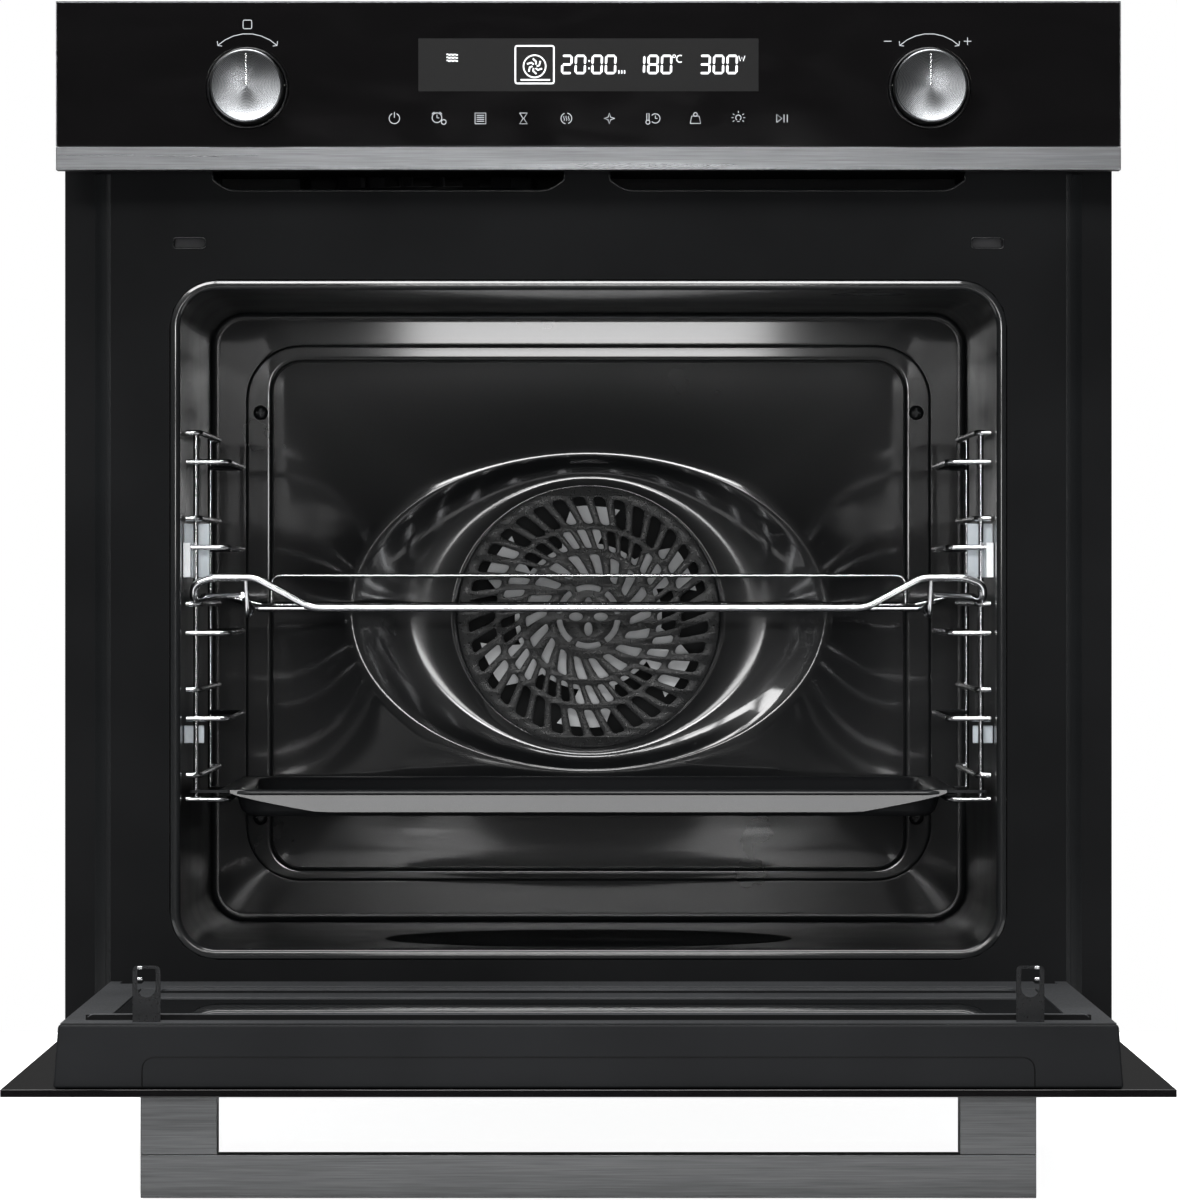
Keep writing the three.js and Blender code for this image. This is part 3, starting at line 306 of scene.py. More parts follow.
class Paint:
    """One node material, with helpers that add what varies over its surface."""

    def __init__(self, name, **sockets):
        self.material = bpy.data.materials.new(name)
        self.material.use_nodes = True
        PAINTS[name] = self.material
        self.tree = self.material.node_tree
        self.shader = self.tree.nodes["Principled BSDF"]
        for socket, value in sockets.items():
            self.shader.inputs[socket.replace("_", " ")].default_value = value

    def node(self, kind, inputs=(), **settings):
        """A new node. Its inputs are given as numbers or as other nodes' outputs."""
        made = self.tree.nodes.new("ShaderNode" + kind)
        for key, value in settings.items():
            setattr(made, key, value)
        for socket, value in dict(inputs).items():
            if isinstance(value, bpy.types.NodeSocket):
                self.join(value, made.inputs[socket])
            else:
                made.inputs[socket].default_value = value
        return made

    def join(self, source, target):
        self.tree.links.new(source, target)

    def place(self, stretch):
        """Places on the object, stretched along its axes."""
        coordinates = self.node("TexCoord").outputs["Object"]
        return self.node("Mapping", {"Vector": coordinates, "Scale": stretch}).outputs["Vector"]

    def noise(self, scale, stretch=(1, 1, 1), detail=4.0, distortion=0.0):
        inputs = {"Vector": self.place(stretch), "Scale": scale, "Detail": detail, "Distortion": distortion}
        return self.node("TexNoise", inputs).outputs["Fac"]

    def cells(self, scale, output="Distance", stretch=(1, 1, 1)):
        return self.node("TexVoronoi", {"Vector": self.place(stretch), "Scale": scale}).outputs[output]

    def spread(self, value, low, high, start=0.3, end=0.7):
        """Maps a value from start..end to low..high."""
        inputs = {"Value": value, "From Min": start, "From Max": end, "To Min": low, "To Max": high}
        return self.node("MapRange", inputs).outputs["Result"]

    def tones(self, value, colour, dark, light, start=0.3, end=0.7):
        """Two shades of one colour, spread over a value."""
        return self.colours(value, [(start, shade(colour, dark)), (end, shade(colour, light))])

    def colours(self, value, stops):
        """A colour ramp over a value. Stops are (place, colour)."""
        ramp = self.node("ValToRGB")
        elements = ramp.color_ramp.elements
        while len(elements) < len(stops):
            elements.new(0.5)
        for element, (at, colour) in zip(elements, stops):
            element.position = at
            element.color = (*colour, 1)
        self.join(value, ramp.inputs["Fac"])
        self.join(ramp.outputs["Color"], self.shader.inputs["Base Color"])
        return self

    def rough(self, value, low, high, start=0.3, end=0.7):
        self.join(self.spread(value, low, high, start, end), self.shader.inputs["Roughness"])
        return self

    def bumps(self, height, depth):
        """Relief, so many millimetres deep."""
        relief = self.node("Bump", {"Height": height, "Strength": 1.0, "Distance": depth * MM})
        self.join(relief.outputs["Normal"], self.shader.inputs["Normal"])
        return self


def shade(colour, share):
    return tuple(c * share for c in colour)


def coated(name, colour, rough, grain=0.01, scale=900, **sockets):
    """Powder coat or moulded plastic: fine grain, and a slow change of tone."""
    paint = Paint(name, **sockets)
    fine = paint.noise(scale, detail=3)
    paint.tones(paint.noise(9, detail=6), colour, 0.75, 1.25)
    paint.rough(fine, rough * 0.85, rough * 1.15)
    return paint.bumps(fine, grain).material


def enamelled(name, colour, rough, gloss=1.0, base=0.2, coat_rough=0.06):
    """Vitreous enamel: a soft base under a thin mirror-like skin, with fine pale specks."""
    paint = Paint(name, Specular_IOR_Level=base, Coat_Weight=gloss, Coat_Roughness=coat_rough)
    specks = paint.cells(1500)
    paint.colours(specks, [(0.0, (0.07, 0.072, 0.075)), (0.11, shade(colour, 1.3)), (0.6, colour)])
    paint.rough(paint.noise(14, detail=5), rough * 0.9, rough * 1.1)
    return paint.bumps(specks, 0.001).material


def brushed(name, colour, rough, along="X"):
    """Metal brushed along one axis."""
    stretch = {"X": (0.02, 1, 1), "Z": (1, 1, 0.02), "Y": (1, 0.02, 1)}[along]
    paint = Paint(name, Metallic=1.0)
    lines = paint.noise(1500, stretch, detail=5)
    paint.tones(lines, colour, 0.72, 1.2, 0.25, 0.75)
    paint.rough(paint.noise(160, stretch, detail=3), rough * 0.85, rough * 1.2)
    return paint.bumps(lines, 0.012).material


def plated(name, colour, rough):
    """Polished wire, with slightly duller patches."""
    paint = Paint(name, Metallic=1.0)
    paint.tones(paint.noise(60, detail=4), colour, 0.88, 1.0)
    paint.rough(paint.noise(300, detail=3), rough * 0.75, rough * 1.3)
    return paint.bumps(paint.noise(500, detail=2), 0.0015).material


def galvanised(name, colour, rough):
    """Zinc coated sheet with its crystal pattern."""
    paint = Paint(name, Metallic=1.0)
    tone = paint.node("SeparateColor", {"Color": paint.cells(150, "Color")}).outputs["Red"]
    paint.tones(tone, colour, 0.9, 1.06, 0.0, 1.0)
    paint.rough(tone, rough * 0.85, rough * 1.2, 0.0, 1.0)
    return paint.bumps(paint.noise(500, detail=3), 0.006).material


def fired(name, colour):
    """Pale glazed ceramic."""
    paint = Paint(name, Coat_Weight=0.3, Coat_Roughness=0.1, Subsurface_Weight=0.05)
    slow = paint.noise(90, detail=4)
    paint.tones(slow, colour, 0.92, 1.06)
    paint.rough(slow, 0.25, 0.4)
    return paint.bumps(paint.noise(700, detail=2), 0.01).material


def glazing(name, colour, rough, **sockets):
    """Glass with the faint uneven gloss of a wiped pane."""
    paint = Paint(name, **sockets)
    smear = paint.noise(16, (1, 1, 2.5), detail=6, distortion=1.2)
    paint.tones(smear, colour, 1.0, 1.35)
    return paint.rough(smear, rough * 0.6, rough * 1.5).material


def turned(name, colour, rough):
    """Aluminium turned on a lathe: fine rings, a sheen that fans out from the middle from the radial grain, and
    a painted sheen of brighter and darker wedges in its colour.
    """
    paint = Paint(name, Metallic=1.0, Anisotropic=0.7)
    tangent = paint.node("Tangent", direction_type="RADIAL", axis="Y")
    paint.join(tangent.outputs["Tangent"], paint.shader.inputs["Tangent"])
    generated = paint.node("TexCoord").outputs["Generated"]
    centred = paint.node("Mapping", {"Vector": generated, "Location": (-0.5, -0.5, -0.5)}).outputs["Vector"]
    waves = {"Vector": centred, "Scale": 16, "Distortion": 1.5}
    rings = paint.node("TexWave", waves, wave_type="RINGS", rings_direction="Y").outputs["Fac"]
    laid = paint.node("Mapping", {"Vector": centred, "Rotation": (math.radians(90), 0, 0)}).outputs["Vector"]
    fan = paint.node("TexGradient", {"Vector": laid}, gradient_type="RADIAL").outputs["Fac"]
    # Painted sheen: the colour is brighter and darker in wedges round the middle, as the highlights of turned
    # metal.
    painted_sheen_wedges = ((0.0, 0.9), (0.1, 1.08), (0.25, 0.95), (0.3, 1.0), (0.42, 0.88), (0.5, 0.9),
              (0.6, 1.08), (0.75, 0.95), (0.86, 0.86), (1.0, 0.9))
    paint.colours(fan, [(at, shade(colour, tone)) for at, tone in painted_sheen_wedges])
    paint.rough(rings, rough * 0.85, rough * 1.15, 0.0, 1.0)
    return paint.bumps(rings, 0.0015).material


def lit(name, colour, strength, body=0.6):
    """A lit symbol behind the glass."""
    paint = Paint(name, Emission_Color=(*colour, 1), Emission_Strength=strength, Specular_IOR_Level=0.2)
    paint.tones(paint.noise(800), shade(colour, body), 0.9, 1.0)
    return paint.rough(paint.noise(400), 0.35, 0.45).material


def woolly(name):
    """Matted mineral fibres."""
    paint = Paint(name, Sheen_Weight=0.3)
    fibres = paint.noise(420, (1, 0.25, 1), detail=8, distortion=2.0)
    paint.colours(fibres, [(0.3, (0.38, 0.33, 0.18)), (0.7, (0.66, 0.60, 0.40))])
    paint.rough(fibres, 0.85, 1.0)
    return paint.bumps(fibres, 0.8).material


def soldered(name):
    """A green circuit board with its tracks."""
    paint = Paint(name, Coat_Weight=0.3)
    tracks = paint.cells(260, stretch=(1, 1, 0.4))
    paint.colours(tracks, [(0.2, (0.03, 0.14, 0.06)), (0.5, (0.015, 0.08, 0.03))])
    return paint.rough(tracks, 0.3, 0.5).bumps(tracks, 0.05).material


# Each slot of the record has the paint of the same name.
ENAMEL_BLACK = (0.007, 0.0075, 0.008)
ENAMEL = enamelled("black_enamel", ENAMEL_BLACK, 0.3)
WALL_ENAMEL = enamelled("wall_enamel", ENAMEL_BLACK, 0.4, gloss=0.7, base=0.15, coat_rough=0.24)
DISH_ENAMEL = coated("dish_enamel", (0.003, 0.0032, 0.0034), 0.6, 0.002, Specular_IOR_Level=0.05)
TRAY_ENAMEL = enamelled("tray_enamel", (0.012, 0.0125, 0.0135), 0.35, gloss=0.25, base=0.12)
coated("painted_front", (0.0062, 0.0064, 0.0068), 0.55, 0.004, Specular_IOR_Level=0.04)
STEP_PAINT = coated("step_paint", (0.006, 0.0065, 0.007), 0.2, 0.002, Specular_IOR_Level=0.4)
GRILLE_COAT = coated("grille_coat", (0.010, 0.0105, 0.011), 0.3, 0.004)
coated("door_frame", (0.008, 0.0084, 0.0092), 0.42, 0.004, Specular_IOR_Level=0.09)
DOOR_GLASS = glazing("door_glass", (0.03, 0.032, 0.034), 0.01, IOR=1.5, Transmission_Weight=0.6)
# Painted light: a lighter copy of the door's black coat, for its inner side, the strip on its glass and the
# seal's bead.
LIT_DOOR_COAT = coated("door_liner", (0.040, 0.0415, 0.044), 0.42, 0.004, Specular_IOR_Level=0.2)
RUBBER = coated("seal_rubber", (0.003, 0.003, 0.0032), 0.5, Specular_IOR_Level=0.1)
glazing("black_glass", (0.0028, 0.0026, 0.0028), 0.03, IOR=1.52)
glazing("clear_glass", (0.42, 0.45, 0.46), 0.02, IOR=1.5, Transmission_Weight=0.92)
STEEL = brushed("brushed_steel", (0.185, 0.189, 0.195), 0.3)
# Painted shade: a darker copy of the brushed steel, for the handle.
SHADED_HANDLE_STEEL = brushed("shaded_handle_steel", (0.115, 0.117, 0.12), 0.34)
TURNED = turned("turned_metal", (0.235, 0.242, 0.25), 0.3)
TURNED_EDGE = brushed("turned_edge", (0.66, 0.67, 0.68), 0.22, "Y")
CHROME = plated("chrome_wire", (0.82, 0.83, 0.85), 0.2)
CERAMIC = fired("white_ceramic", (0.9, 0.91, 0.92))
GREY_CERAMIC = fired("grey_ceramic", (0.42, 0.45, 0.48))
galvanised("zinc_sheet", (0.42, 0.44, 0.46), 0.42)
ZINC_PARTS = plated("zinc_parts", (0.42, 0.43, 0.44), 0.3)
DARK_STEEL = coated("hook_steel", (0.012, 0.0125, 0.0135), 0.3, 0.003, Metallic=0.6)
FAN_METAL = coated("fan_metal", (0.62, 0.63, 0.64), 0.45)
coated("heater_metal", (0.09, 0.085, 0.08), 0.5, Metallic=0.5)
woolly("mineral_wool")
coated("black_plastic", (0.009, 0.009, 0.010), 0.4, scale=500, Specular_IOR_Level=0.25)
SWITCH_PLASTIC = coated("switch_plastic", (0.10, 0.10, 0.105), 0.5, scale=500)
brushed("magnetron_metal", (0.45, 0.30, 0.20), 0.4)
soldered("circuit_board")
COLLAR = coated("collar", (0.006, 0.006, 0.0065), 0.16, 0.002)
SCREEN = lit("screen", (0.007, 0.007, 0.0072), 1.0, body=0.03)
CHAMBER = coated("chamber_coat", (0.022, 0.0225, 0.023), 0.6, Specular_IOR_Level=0.1)
SYMBOL = lit("symbol", (0.55, 0.57, 0.60), 0.5)
DIGIT = lit("digit", (0.95, 0.96, 0.98), 1.0)

NODE_PAINTS = {
    "door_liner": LIT_DOOR_COAT,
    "inner_glass": DOOR_GLASS,
    "fan_chamber": CHAMBER,
    "ring_heater": CHAMBER,
    "latch_switch_left": SWITCH_PLASTIC,
    "latch_switch_right": SWITCH_PLASTIC,
}
PLAIN_EDGE = 0.25
EDGES = {
    "outer_glass": 0.5,
    "panel_glass": 0.4,
    "trim_strip": 0.35,
    "door_trim": 1.2,
    "door_liner": 0.5,
    "front_frame": 0.4,
}


def paint_nodes():
    """Gives every CAD node its material and softened edges."""
    for part in frame["record"]["subparts"]:
        name = part["node"]
        node = frame["nodes"][name]
        node.data.materials.clear()
        node.data.materials.append(NODE_PAINTS.get(name, PAINTS[part["material_slot"]]))
        soften(node, EDGES.get(name, PLAIN_EDGE))


paint_nodes()


# ---------- cavity ----------
FACADE_Y = corners("front_frame")[0].y
FACADE_TOP = corners("trim_strip")[0].z - 0.5
BACK_Y = corners("fan_cover")[0].y
RIM = 5.7
FILLET = 3.6
# How far the back wall leans for each millimetre: over, beside and under the fan cover's recess.
LEAN = math.tan(math.radians(1.15))
SIDE_FALL = math.tan(math.radians(2.2))
FOOT_FALL = math.tan(math.radians(3.6))


def outline_of(node, inset, corner, low=None, high=None):
    """A rounded rectangle in X and Z inside a node's box."""
    small, large = corners(node)
    return {
        "half": large.x - inset,
        "low": small.z + (low or inset),
        "high": large.z - (high or inset),
        "corner": corner,
    }


MOUTH = outline_of("cavity_liner", RIM, 21.0)
COVER = outline_of("fan_cover", 0.0, 33.0)
RECESS = outline_of("fan_cover", 14.6, 19.0, 6.1, 8.6)
# The half width, half height and middle of the cover's oval ridge and round grille.
RIDGE = (146.6, 96.5, 252.3)
GRILLE_R, GRILLE_Z = 78.8, 249.5
GRILLE = (GRILLE_R, GRILLE_R, GRILLE_Z)


def band(rect, profile, arc=14):
    """Rings round a rounded rectangle. The profile lists (distance outwards, y)."""
    middle, tall = (rect["high"] + rect["low"]) / 2, (rect["high"] - rect["low"]) / 2
    rings = []
    for out, y in profile:
        ring = []
        radius = rect["corner"] + out
        for k, (sx, sz) in enumerate(((1, 1), (-1, 1), (-1, -1), (1, -1))):
            for i in range(arc + 1):
                angle = math.pi / 2 * (k + i / arc)
                x = sx * (rect["half"] - rect["corner"]) + radius * math.cos(angle)
                z = middle + sz * (tall - rect["corner"]) + radius * math.sin(angle)
                ring.append((x, y, z))
        rings.append(ring)
    return rings


def turn_profile(centre, radius, start, end, steps=6):
    """An arc in a profile's plane, angles in degrees."""
    angles = [math.radians(start + (end - start) * i / steps) for i in range(steps + 1)]
    return [(centre[0] + radius * math.cos(a), centre[1] + radius * math.sin(a)) for a in angles]


def back_at(x, z):
    """The back wall's y: its top leans forward a little, its sides and foot backward."""
    over, under = max(0.0, z - RECESS["high"]), max(0.0, RECESS["low"] - z)
    beside = max(0.0, abs(x) - RECESS["half"])
    return BACK_Y - over * LEAN + beside * SIDE_FALL + under * FOOT_FALL


def cavity():
    """Walls bent into the back wall, and the rounded rim round their mouth."""
    front, start, sheet = FACADE_Y, FACADE_Y + 4.2, 1.5
    walls = [
        (-FILLET - 1, BACK_Y + 1.4),
        (-FILLET - 1, BACK_Y),
        *turn_profile((-FILLET, BACK_Y - FILLET), FILLET, 90, 0),
        (0, BACK_Y - FILLET - 2),
        (0, start),
        (sheet, start),
        (sheet, BACK_Y + 1.8),
    ]
    rim = [
        (0, start),
        *turn_profile((2.6, front + 2.6), 2.6, 180, 270, 8),
        (3.6, front),
        (3.9, front + 0.05),
        (4.9, front + 0.3),
        *turn_profile((4.9, front + 1.1), 0.8, 290, 360, 3),
        (RIM, front + 4),
        (sheet, front + 7),
        (sheet, start),
    ]
    lamp_low, lamp_high = corners("lamp_glass")
    lamp_x, lamp_y = (lamp_low.x + lamp_high.x) / 2, (lamp_low.y + lamp_high.y) / 2
    lamp = Shape().flat(circle(lamp_x, lamp_y, 22), MOUTH["high"] - 5, MOUTH["high"] + 10)
    mesh = carved("oven_cavity", Shape().loft(band(MOUTH, walls), along=True), [lamp])
    piece("oven_cavity", mesh, "oven", WALL_ENAMEL, ["cavity_liner"], sharp=30)
    piece("cavity_rim", Shape().loft(band(MOUTH, rim), along=True), "oven", ENAMEL, sharp=30)


def back_wall():
    """The back wall, with the seam that the fan cover fills."""
    angles = cover_angles()
    wall, outer = 1.6, -FILLET - 0.8
    profile = (
        (MOUTH, outer, 0.02), (MOUTH, outer - 0.8, 0.0), (MOUTH, outer - 1.6, 0.0),
        (COVER, 2.0, 0.0), (COVER, 1.2, 0.0), (COVER, 0.45, 0.02), (COVER, 0.35, 0.4),
        (COVER, 0.35, wall), (MOUTH, outer, wall),
    )
    rings = []
    for rect, grow, depth in profile:
        ring = [on_rect(rect, grow, a) for a in angles]
        rings.append([(x, back_at(x, z) + depth, z) for x, z in ring])
    piece("cavity_back", Shape().loft(rings, along=True), "oven", ENAMEL, sharp=30)


def floor_dish():
    """The round plate set in the cavity's floor, in a dark matte coat."""
    profile = ((118, 0.05), (117, 0.4), (114, 0.56), (108, 0.62), (0.5, 0.64))
    middle = FACADE_Y + 145
    rings = [[(x, y, MOUTH["low"] + height) for x, y in circle(0.0, middle, radius, 96)]
             for radius, height in profile]
    piece("floor_dish", Shape().loft(rings), "oven", DISH_ENAMEL)


def on_rect(rect, grow, angle):
    """Where a ray from the middle meets a rounded rectangle."""
    half, tall = rect["half"] + grow, (rect["high"] - rect["low"]) / 2 + grow
    radius = max(rect["corner"] + grow, 1.0)
    middle = (rect["high"] + rect["low"]) / 2
    c, s = math.cos(angle), math.sin(angle)
    scale = min(half / max(abs(c), 1e-9), tall / max(abs(s), 1e-9))
    x, z = c * scale, s * scale
    if abs(x) > half - radius and abs(z) > tall - radius:
        cx, cz = math.copysign(half - radius, c), math.copysign(tall - radius, s)
        near = c * cx + s * cz
        reach = near + math.sqrt(max(radius ** 2 - (cx * cx + cz * cz - near * near), 0))
        x, z = c * reach, s * reach
    return x, z + middle


def on_oval(across, tall, middle, angle):
    """Where a ray from the middle meets an oval."""
    c, s = math.cos(angle), math.sin(angle)
    reach = 1 / math.sqrt((c / across) ** 2 + (s / tall) ** 2)
    return c * reach, s * reach + middle


def cover_angles():
    """Close together at the corners, wider apart elsewhere."""
    quarter = []
    for first, step, count in ((0, 2.5, 12), (30, 0.75, 22), (46.5, 2.9, 15)):
        quarter += [first + i * step for i in range(count)]
    turns = []
    for k in range(4):
        for q in quarter if k % 2 == 0 else [90 - q for q in quarter[::-1]]:
            angle = 90 * k + q
            if not turns or angle > turns[-1] + 0.2:
                turns.append(angle)
    return [math.radians(t) for t in turns if t < 359.8]


def cover_sheet():
    """The pressed sheet: flange, deep recess, rising floor, oval ridge, trough."""
    angles = cover_angles()
    rings = []

    def ring(outline, depth):
        spots = [outline(a) for a in angles]
        rings.append([(x, back_at(x, z) + depth, z) for x, z in spots])

    def rect(shape, grow):
        return lambda a: on_rect(shape, grow, a)

    def oval(shape):
        return lambda a: on_oval(*shape, a)

    def between(first, last, t):
        """A share of the way from one outline to another."""
        def outline(a):
            (x0, z0), (x1, z1) = first(a), last(a)
            return x0 + (x1 - x0) * t, z0 + (z1 - z0) * t
        return outline

    for grow, depth in ((0, 1.2), (-0.1, 0.3), (-0.6, 0), (-1.6, 0)):
        ring(rect(COVER, grow), depth)
    wall = ((2.2, 0), (0.9, 0), (0.2, 0.12), (-0.3, 0.6), (-0.6, 1.5), (-0.9, 4.7), (-1.2, 6.8),
            (-1.5, 7.15), (-3.0, 7.12), (-8, 6.9))
    for grow, depth in wall:
        ring(rect(RECESS, grow), depth)
    foot, crest, edge = rect(RECESS, wall[-1][0]), oval(RIDGE), oval(GRILLE)
    steps, highest, slope, swell = 12, 1.3, 2.14, 3.46
    for i in range(1, steps + 1):
        t = i / steps
        ring(between(foot, crest, t), highest + slope * (1 - t) + swell * (1 - t ** 2.2))
    trough = ((0.05, 1.5), (0.12, 2.4), (0.24, 4.6), (0.4, 6.6), (0.6, 7.4), (0.8, 7.3), (0.92, 6.8),
              (1.0, 6.4))
    for t, depth in trough:
        ring(between(crest, edge, t), depth)
    shape = Shape().loft(rings)
    sheet = piece("fan_cover_sheet", shape, "oven", ENAMEL, ["fan_cover"], sharp=40)
    solid = sheet.modifiers.new("sheet", "SOLIDIFY")
    solid.thickness = 0.9 * MM
    solid.offset = 0


def slot_outline(outer, inner, wide, narrow, angle, sweep):
    """A leaning slot with rounded ends."""
    def at(radius, turn):
        return radius * math.cos(turn), radius * math.sin(turn) + GRILLE_Z
    a, b = wide / 2 / outer, narrow / 2 / inner
    middle, turn = (outer + inner) / 2, angle - sweep * 0.45
    c = (wide + narrow) / 4 / middle
    outline = [
        at(outer, angle - a), at(outer, angle + a), at(middle, turn + c),
        at(inner, angle - sweep + b), at(inner, angle - sweep - b), at(middle, turn - c),
    ]
    return rounded(outline, min(wide, narrow) * 0.42)


def grille():
    """The slotted disc: three rows of leaning slots, six arcs and four ovals."""
    rows = (
        (36, 73.4, 57, 7.2, 5.6, 0.10),
        (36, 53.5, 42, 5.2, 4.2, 0.10),
        (18, 38.5, 25.5, 6.4, 4.6, 0.20),
    )
    outlines = [circle(0, GRILLE_Z, GRILLE_R + 1.2, 144)]
    for count, outer, inner, wide, narrow, sweep in rows:
        for i in range(count):
            outlines.append(slot_outline(outer, inner, wide, narrow, 2 * math.pi * i / count + 0.09, sweep))
    outer, inner, turn = 19.8, 16.2, 0.84
    for i in range(6):
        start = math.pi / 3 * i + 0.1
        arc = circle(0, GRILLE_Z, outer, 9, start, turn) + circle(0, GRILLE_Z, inner, 9, start + turn, -turn)
        outlines.append(rounded(arc, 1.2, 2))
    away, long, wide = 7.6, 4.3, 2.6
    for i in range(4):
        c, s = math.cos(math.pi / 2 * i), math.sin(math.pi / 2 * i)
        outlines.append([(c * (away + x) - s * z, GRILLE_Z + s * (away + x) + c * z)
                         for x, z in ((long * u, wide * v) for u, v in circle(0, 0, 1, 20))])
    mesh = plate_of("fan_grille", outlines, BACK_Y + 5.8, 1.3, 0.3)
    piece("fan_grille", mesh, "oven", GRILLE_COAT, sharp=50)


def fan():
    """Hub disc and six broad bent blades of the fan."""
    low, high = corners("fan_wheel")
    front, back = low.y, low.y + 16
    disc, hub, shaft, axis = front + 4.5, 44, 3.6, 0.01
    shape = Shape().lathe([
        (axis, disc), (hub, disc), (hub + 1, disc + 0.5), (hub, disc + 1), (14, disc + 1),
        (12, back + 6), (shaft, back + 8), (shaft, high.y), (axis, high.y),
    ], 0, GRILLE_Z)
    count, inner, outer, steps, sheet = 6, 38, 68, 8, 0.8
    for i in range(count):
        middle = math.radians(30 + 360 / count * i)
        rings = []
        for k in range(steps + 1):
            share = k / steps
            radius = inner + (outer - inner) * share
            wide = math.radians(15 - 2.5 * share)
            turn = middle + math.radians(10 - 14 * share)
            ring = []
            for side, lift in ((-1, 1.0), (-0.5, 1.6), (0.5, 3.6), (1, 6.0)):
                a = turn + side * wide
                ring.append((radius * math.cos(a), front + lift, GRILLE_Z + radius * math.sin(a)))
            rings.append(ring + [(x, y + sheet, z) for x, y, z in ring[::-1]])
        shape.loft(rings, caps=True)
    piece("fan_blades", shape, "fan_wheel", FAN_METAL, ["fan_wheel"])


def screws():
    """Cross-head screws of the fan cover."""
    long, thin, shank, axis = 2.6, 0.45, 2.2, 0.01
    for name in ("upper_left", "upper_right", "lower_left", "lower_right"):
        low, high = corners("cover_screw_" + name)
        x, z = axis_of("cover_screw_" + name)
        top = low.y
        head = Shape().lathe([
            (axis, top), (2.2, top + 0.12), (3.6, top + 0.6), (4.4, top + 1.5), (4.5, top + 2.3),
            (shank, top + 2.3), (shank, high.y), (axis, high.y),
        ], x, z, 40)
        cuts = [Shape().block((x - a, top - 1, z - b), (x + a, top + 1.0, z + b))
                for a, b in ((long, thin), (thin, long))]
        mesh = carved("screw", head, cuts)
        piece("cross_screw_" + name, mesh, "oven", DARK_STEEL, ["cover_screw_" + name], sharp=40)


cavity()
back_wall()
floor_dish()
cover_sheet()
grille()
fan()
screws()


# ---------- housing ----------
def hexagon(radius, angle):
    """The reach of a hexagon at an angle."""
    sixth = math.pi / 3
    return radius * math.cos(sixth / 2) / math.cos(angle % sixth - sixth / 2)


def hex_screws(name, spots, place):
    """Washer-head screws; place turns (across, along, height) into a position."""
    profile = ((5.2, 0.05, False), (5.2, 0.7, False), (4.9, 0.9, False), (3.9, 0.95, True),
               (3.9, 2.9, True), (3.3, 3.3, True), (0.2, 3.3, False))
    angles = [2 * math.pi * i / 24 for i in range(24)]
    shape = Shape()
    for across, along in spots:
        rings = []
        for radius, height, six_sided in profile:
            reach = [hexagon(radius, a) if six_sided else radius for a in angles]
            rings.append([place(across + r * math.cos(a), along + r * math.sin(a), height)
                          for r, a in zip(reach, angles)])
        shape.loft(rings)
    piece(name, shape, "oven", ZINC_PARTS, sharp=25)


def housing_screws():
    """Rows of screws along the edges of the side panels and the top cover."""
    def spaced(low, high, count):
        return [low + inset + (high - low - 2 * inset) * i / (count - 1) for i in range(count)]

    inset = 9
    for name, side in SIDES:
        low, high = corners("side_panel_" + name)
        outside = max(abs(low.x), abs(high.x))
        spots = [(y, z) for y in spaced(low.y, high.y, 5) for z in (low.z + inset, high.z - inset)]
        hex_screws("side_screws_" + name, spots, lambda a, b, h: (side * (outside + h), a, b))
    low, high = corners("top_cover")
    spots = [(x, y) for x in spaced(low.x, high.x, 4) for y in (low.y + inset, high.y - inset)]
    hex_screws("top_screws", spots, lambda a, b, h: (a, b, high.z + h))


housing_screws()


# ---------- racks, shelf and tray ----------
LEVELS = (161.0, 209.5, 258.0, 306.5, 355.0)
SUPPORT_DROP = 16.5
UPRIGHT_X = 222.5
REAR_UPRIGHT_X = 225.3
GUARD_X = 220.0
SUPPORT_X = 205.0
WIRE = 1.6


def side_rack(name, side):
    """Two uprights, and at each level a guard wire over a support wire."""
    low, high = corners("side_rack_" + name)
    front, back = low.y + 5.6, high.y - 5.6
    lowest = low.z + WIRE
    shape = Shape()

    def wire(route, bend):
        shape.tube(facing(side, route), WIRE, bend, 14)

    for x, y in ((UPRIGHT_X, front), (REAR_UPRIGHT_X, back + WIRE)):
        wire([(x, y, lowest), (x, y, high.z - WIRE)], 0)
    for i, z in enumerate(LEVELS):
        below = z - SUPPORT_DROP if i else lowest
        wire([(UPRIGHT_X + 5.4, front - 4, z), (UPRIGHT_X, front - 4, z), (GUARD_X, front - 1, z),
              (GUARD_X, back + 1, z), (UPRIGHT_X + 4, back + 4, z)], 3)
        wire([(UPRIGHT_X + 5.4, front - 3.3, below), (SUPPORT_X - 1.5, front - 3.3, below),
              (SUPPORT_X + 0.5, back - 8, below), (REAR_UPRIGHT_X, back, below)], 6)
    piece("rack_wires_" + name, shape, "oven", CHROME, ["side_rack_" + name], sharp=50)


def rack_holder(level, name, side):
    """A grey bracket behind the rack's front wire; the upper one has a white pad against the wall."""
    node = f"rack_holder_{level}_{name}"
    low, high = corners(node)
    inner, wall = sorted((abs(low.x), abs(high.x)))
    outer, behind, gap = wall - 0.2, low.y + 10, 0.2

    def box(nearest, y0, y1, top):
        x0, x1 = span(side, nearest, outer)
        return Shape().block((x0, y0, low.z), (x1, y1, top))

    bracket = box(inner, behind, high.y, high.z)
    piece(f"rack_bracket_{level}_{name}", bracket, "oven", GREY_CERAMIC, [node], edge=0.5)
    if level == "upper":
        pad = box(wall - 4.4, low.y, behind - gap, low.z + 19.8)
        piece(f"rack_pad_{name}", pad, "oven", CERAMIC, edge=0.5)


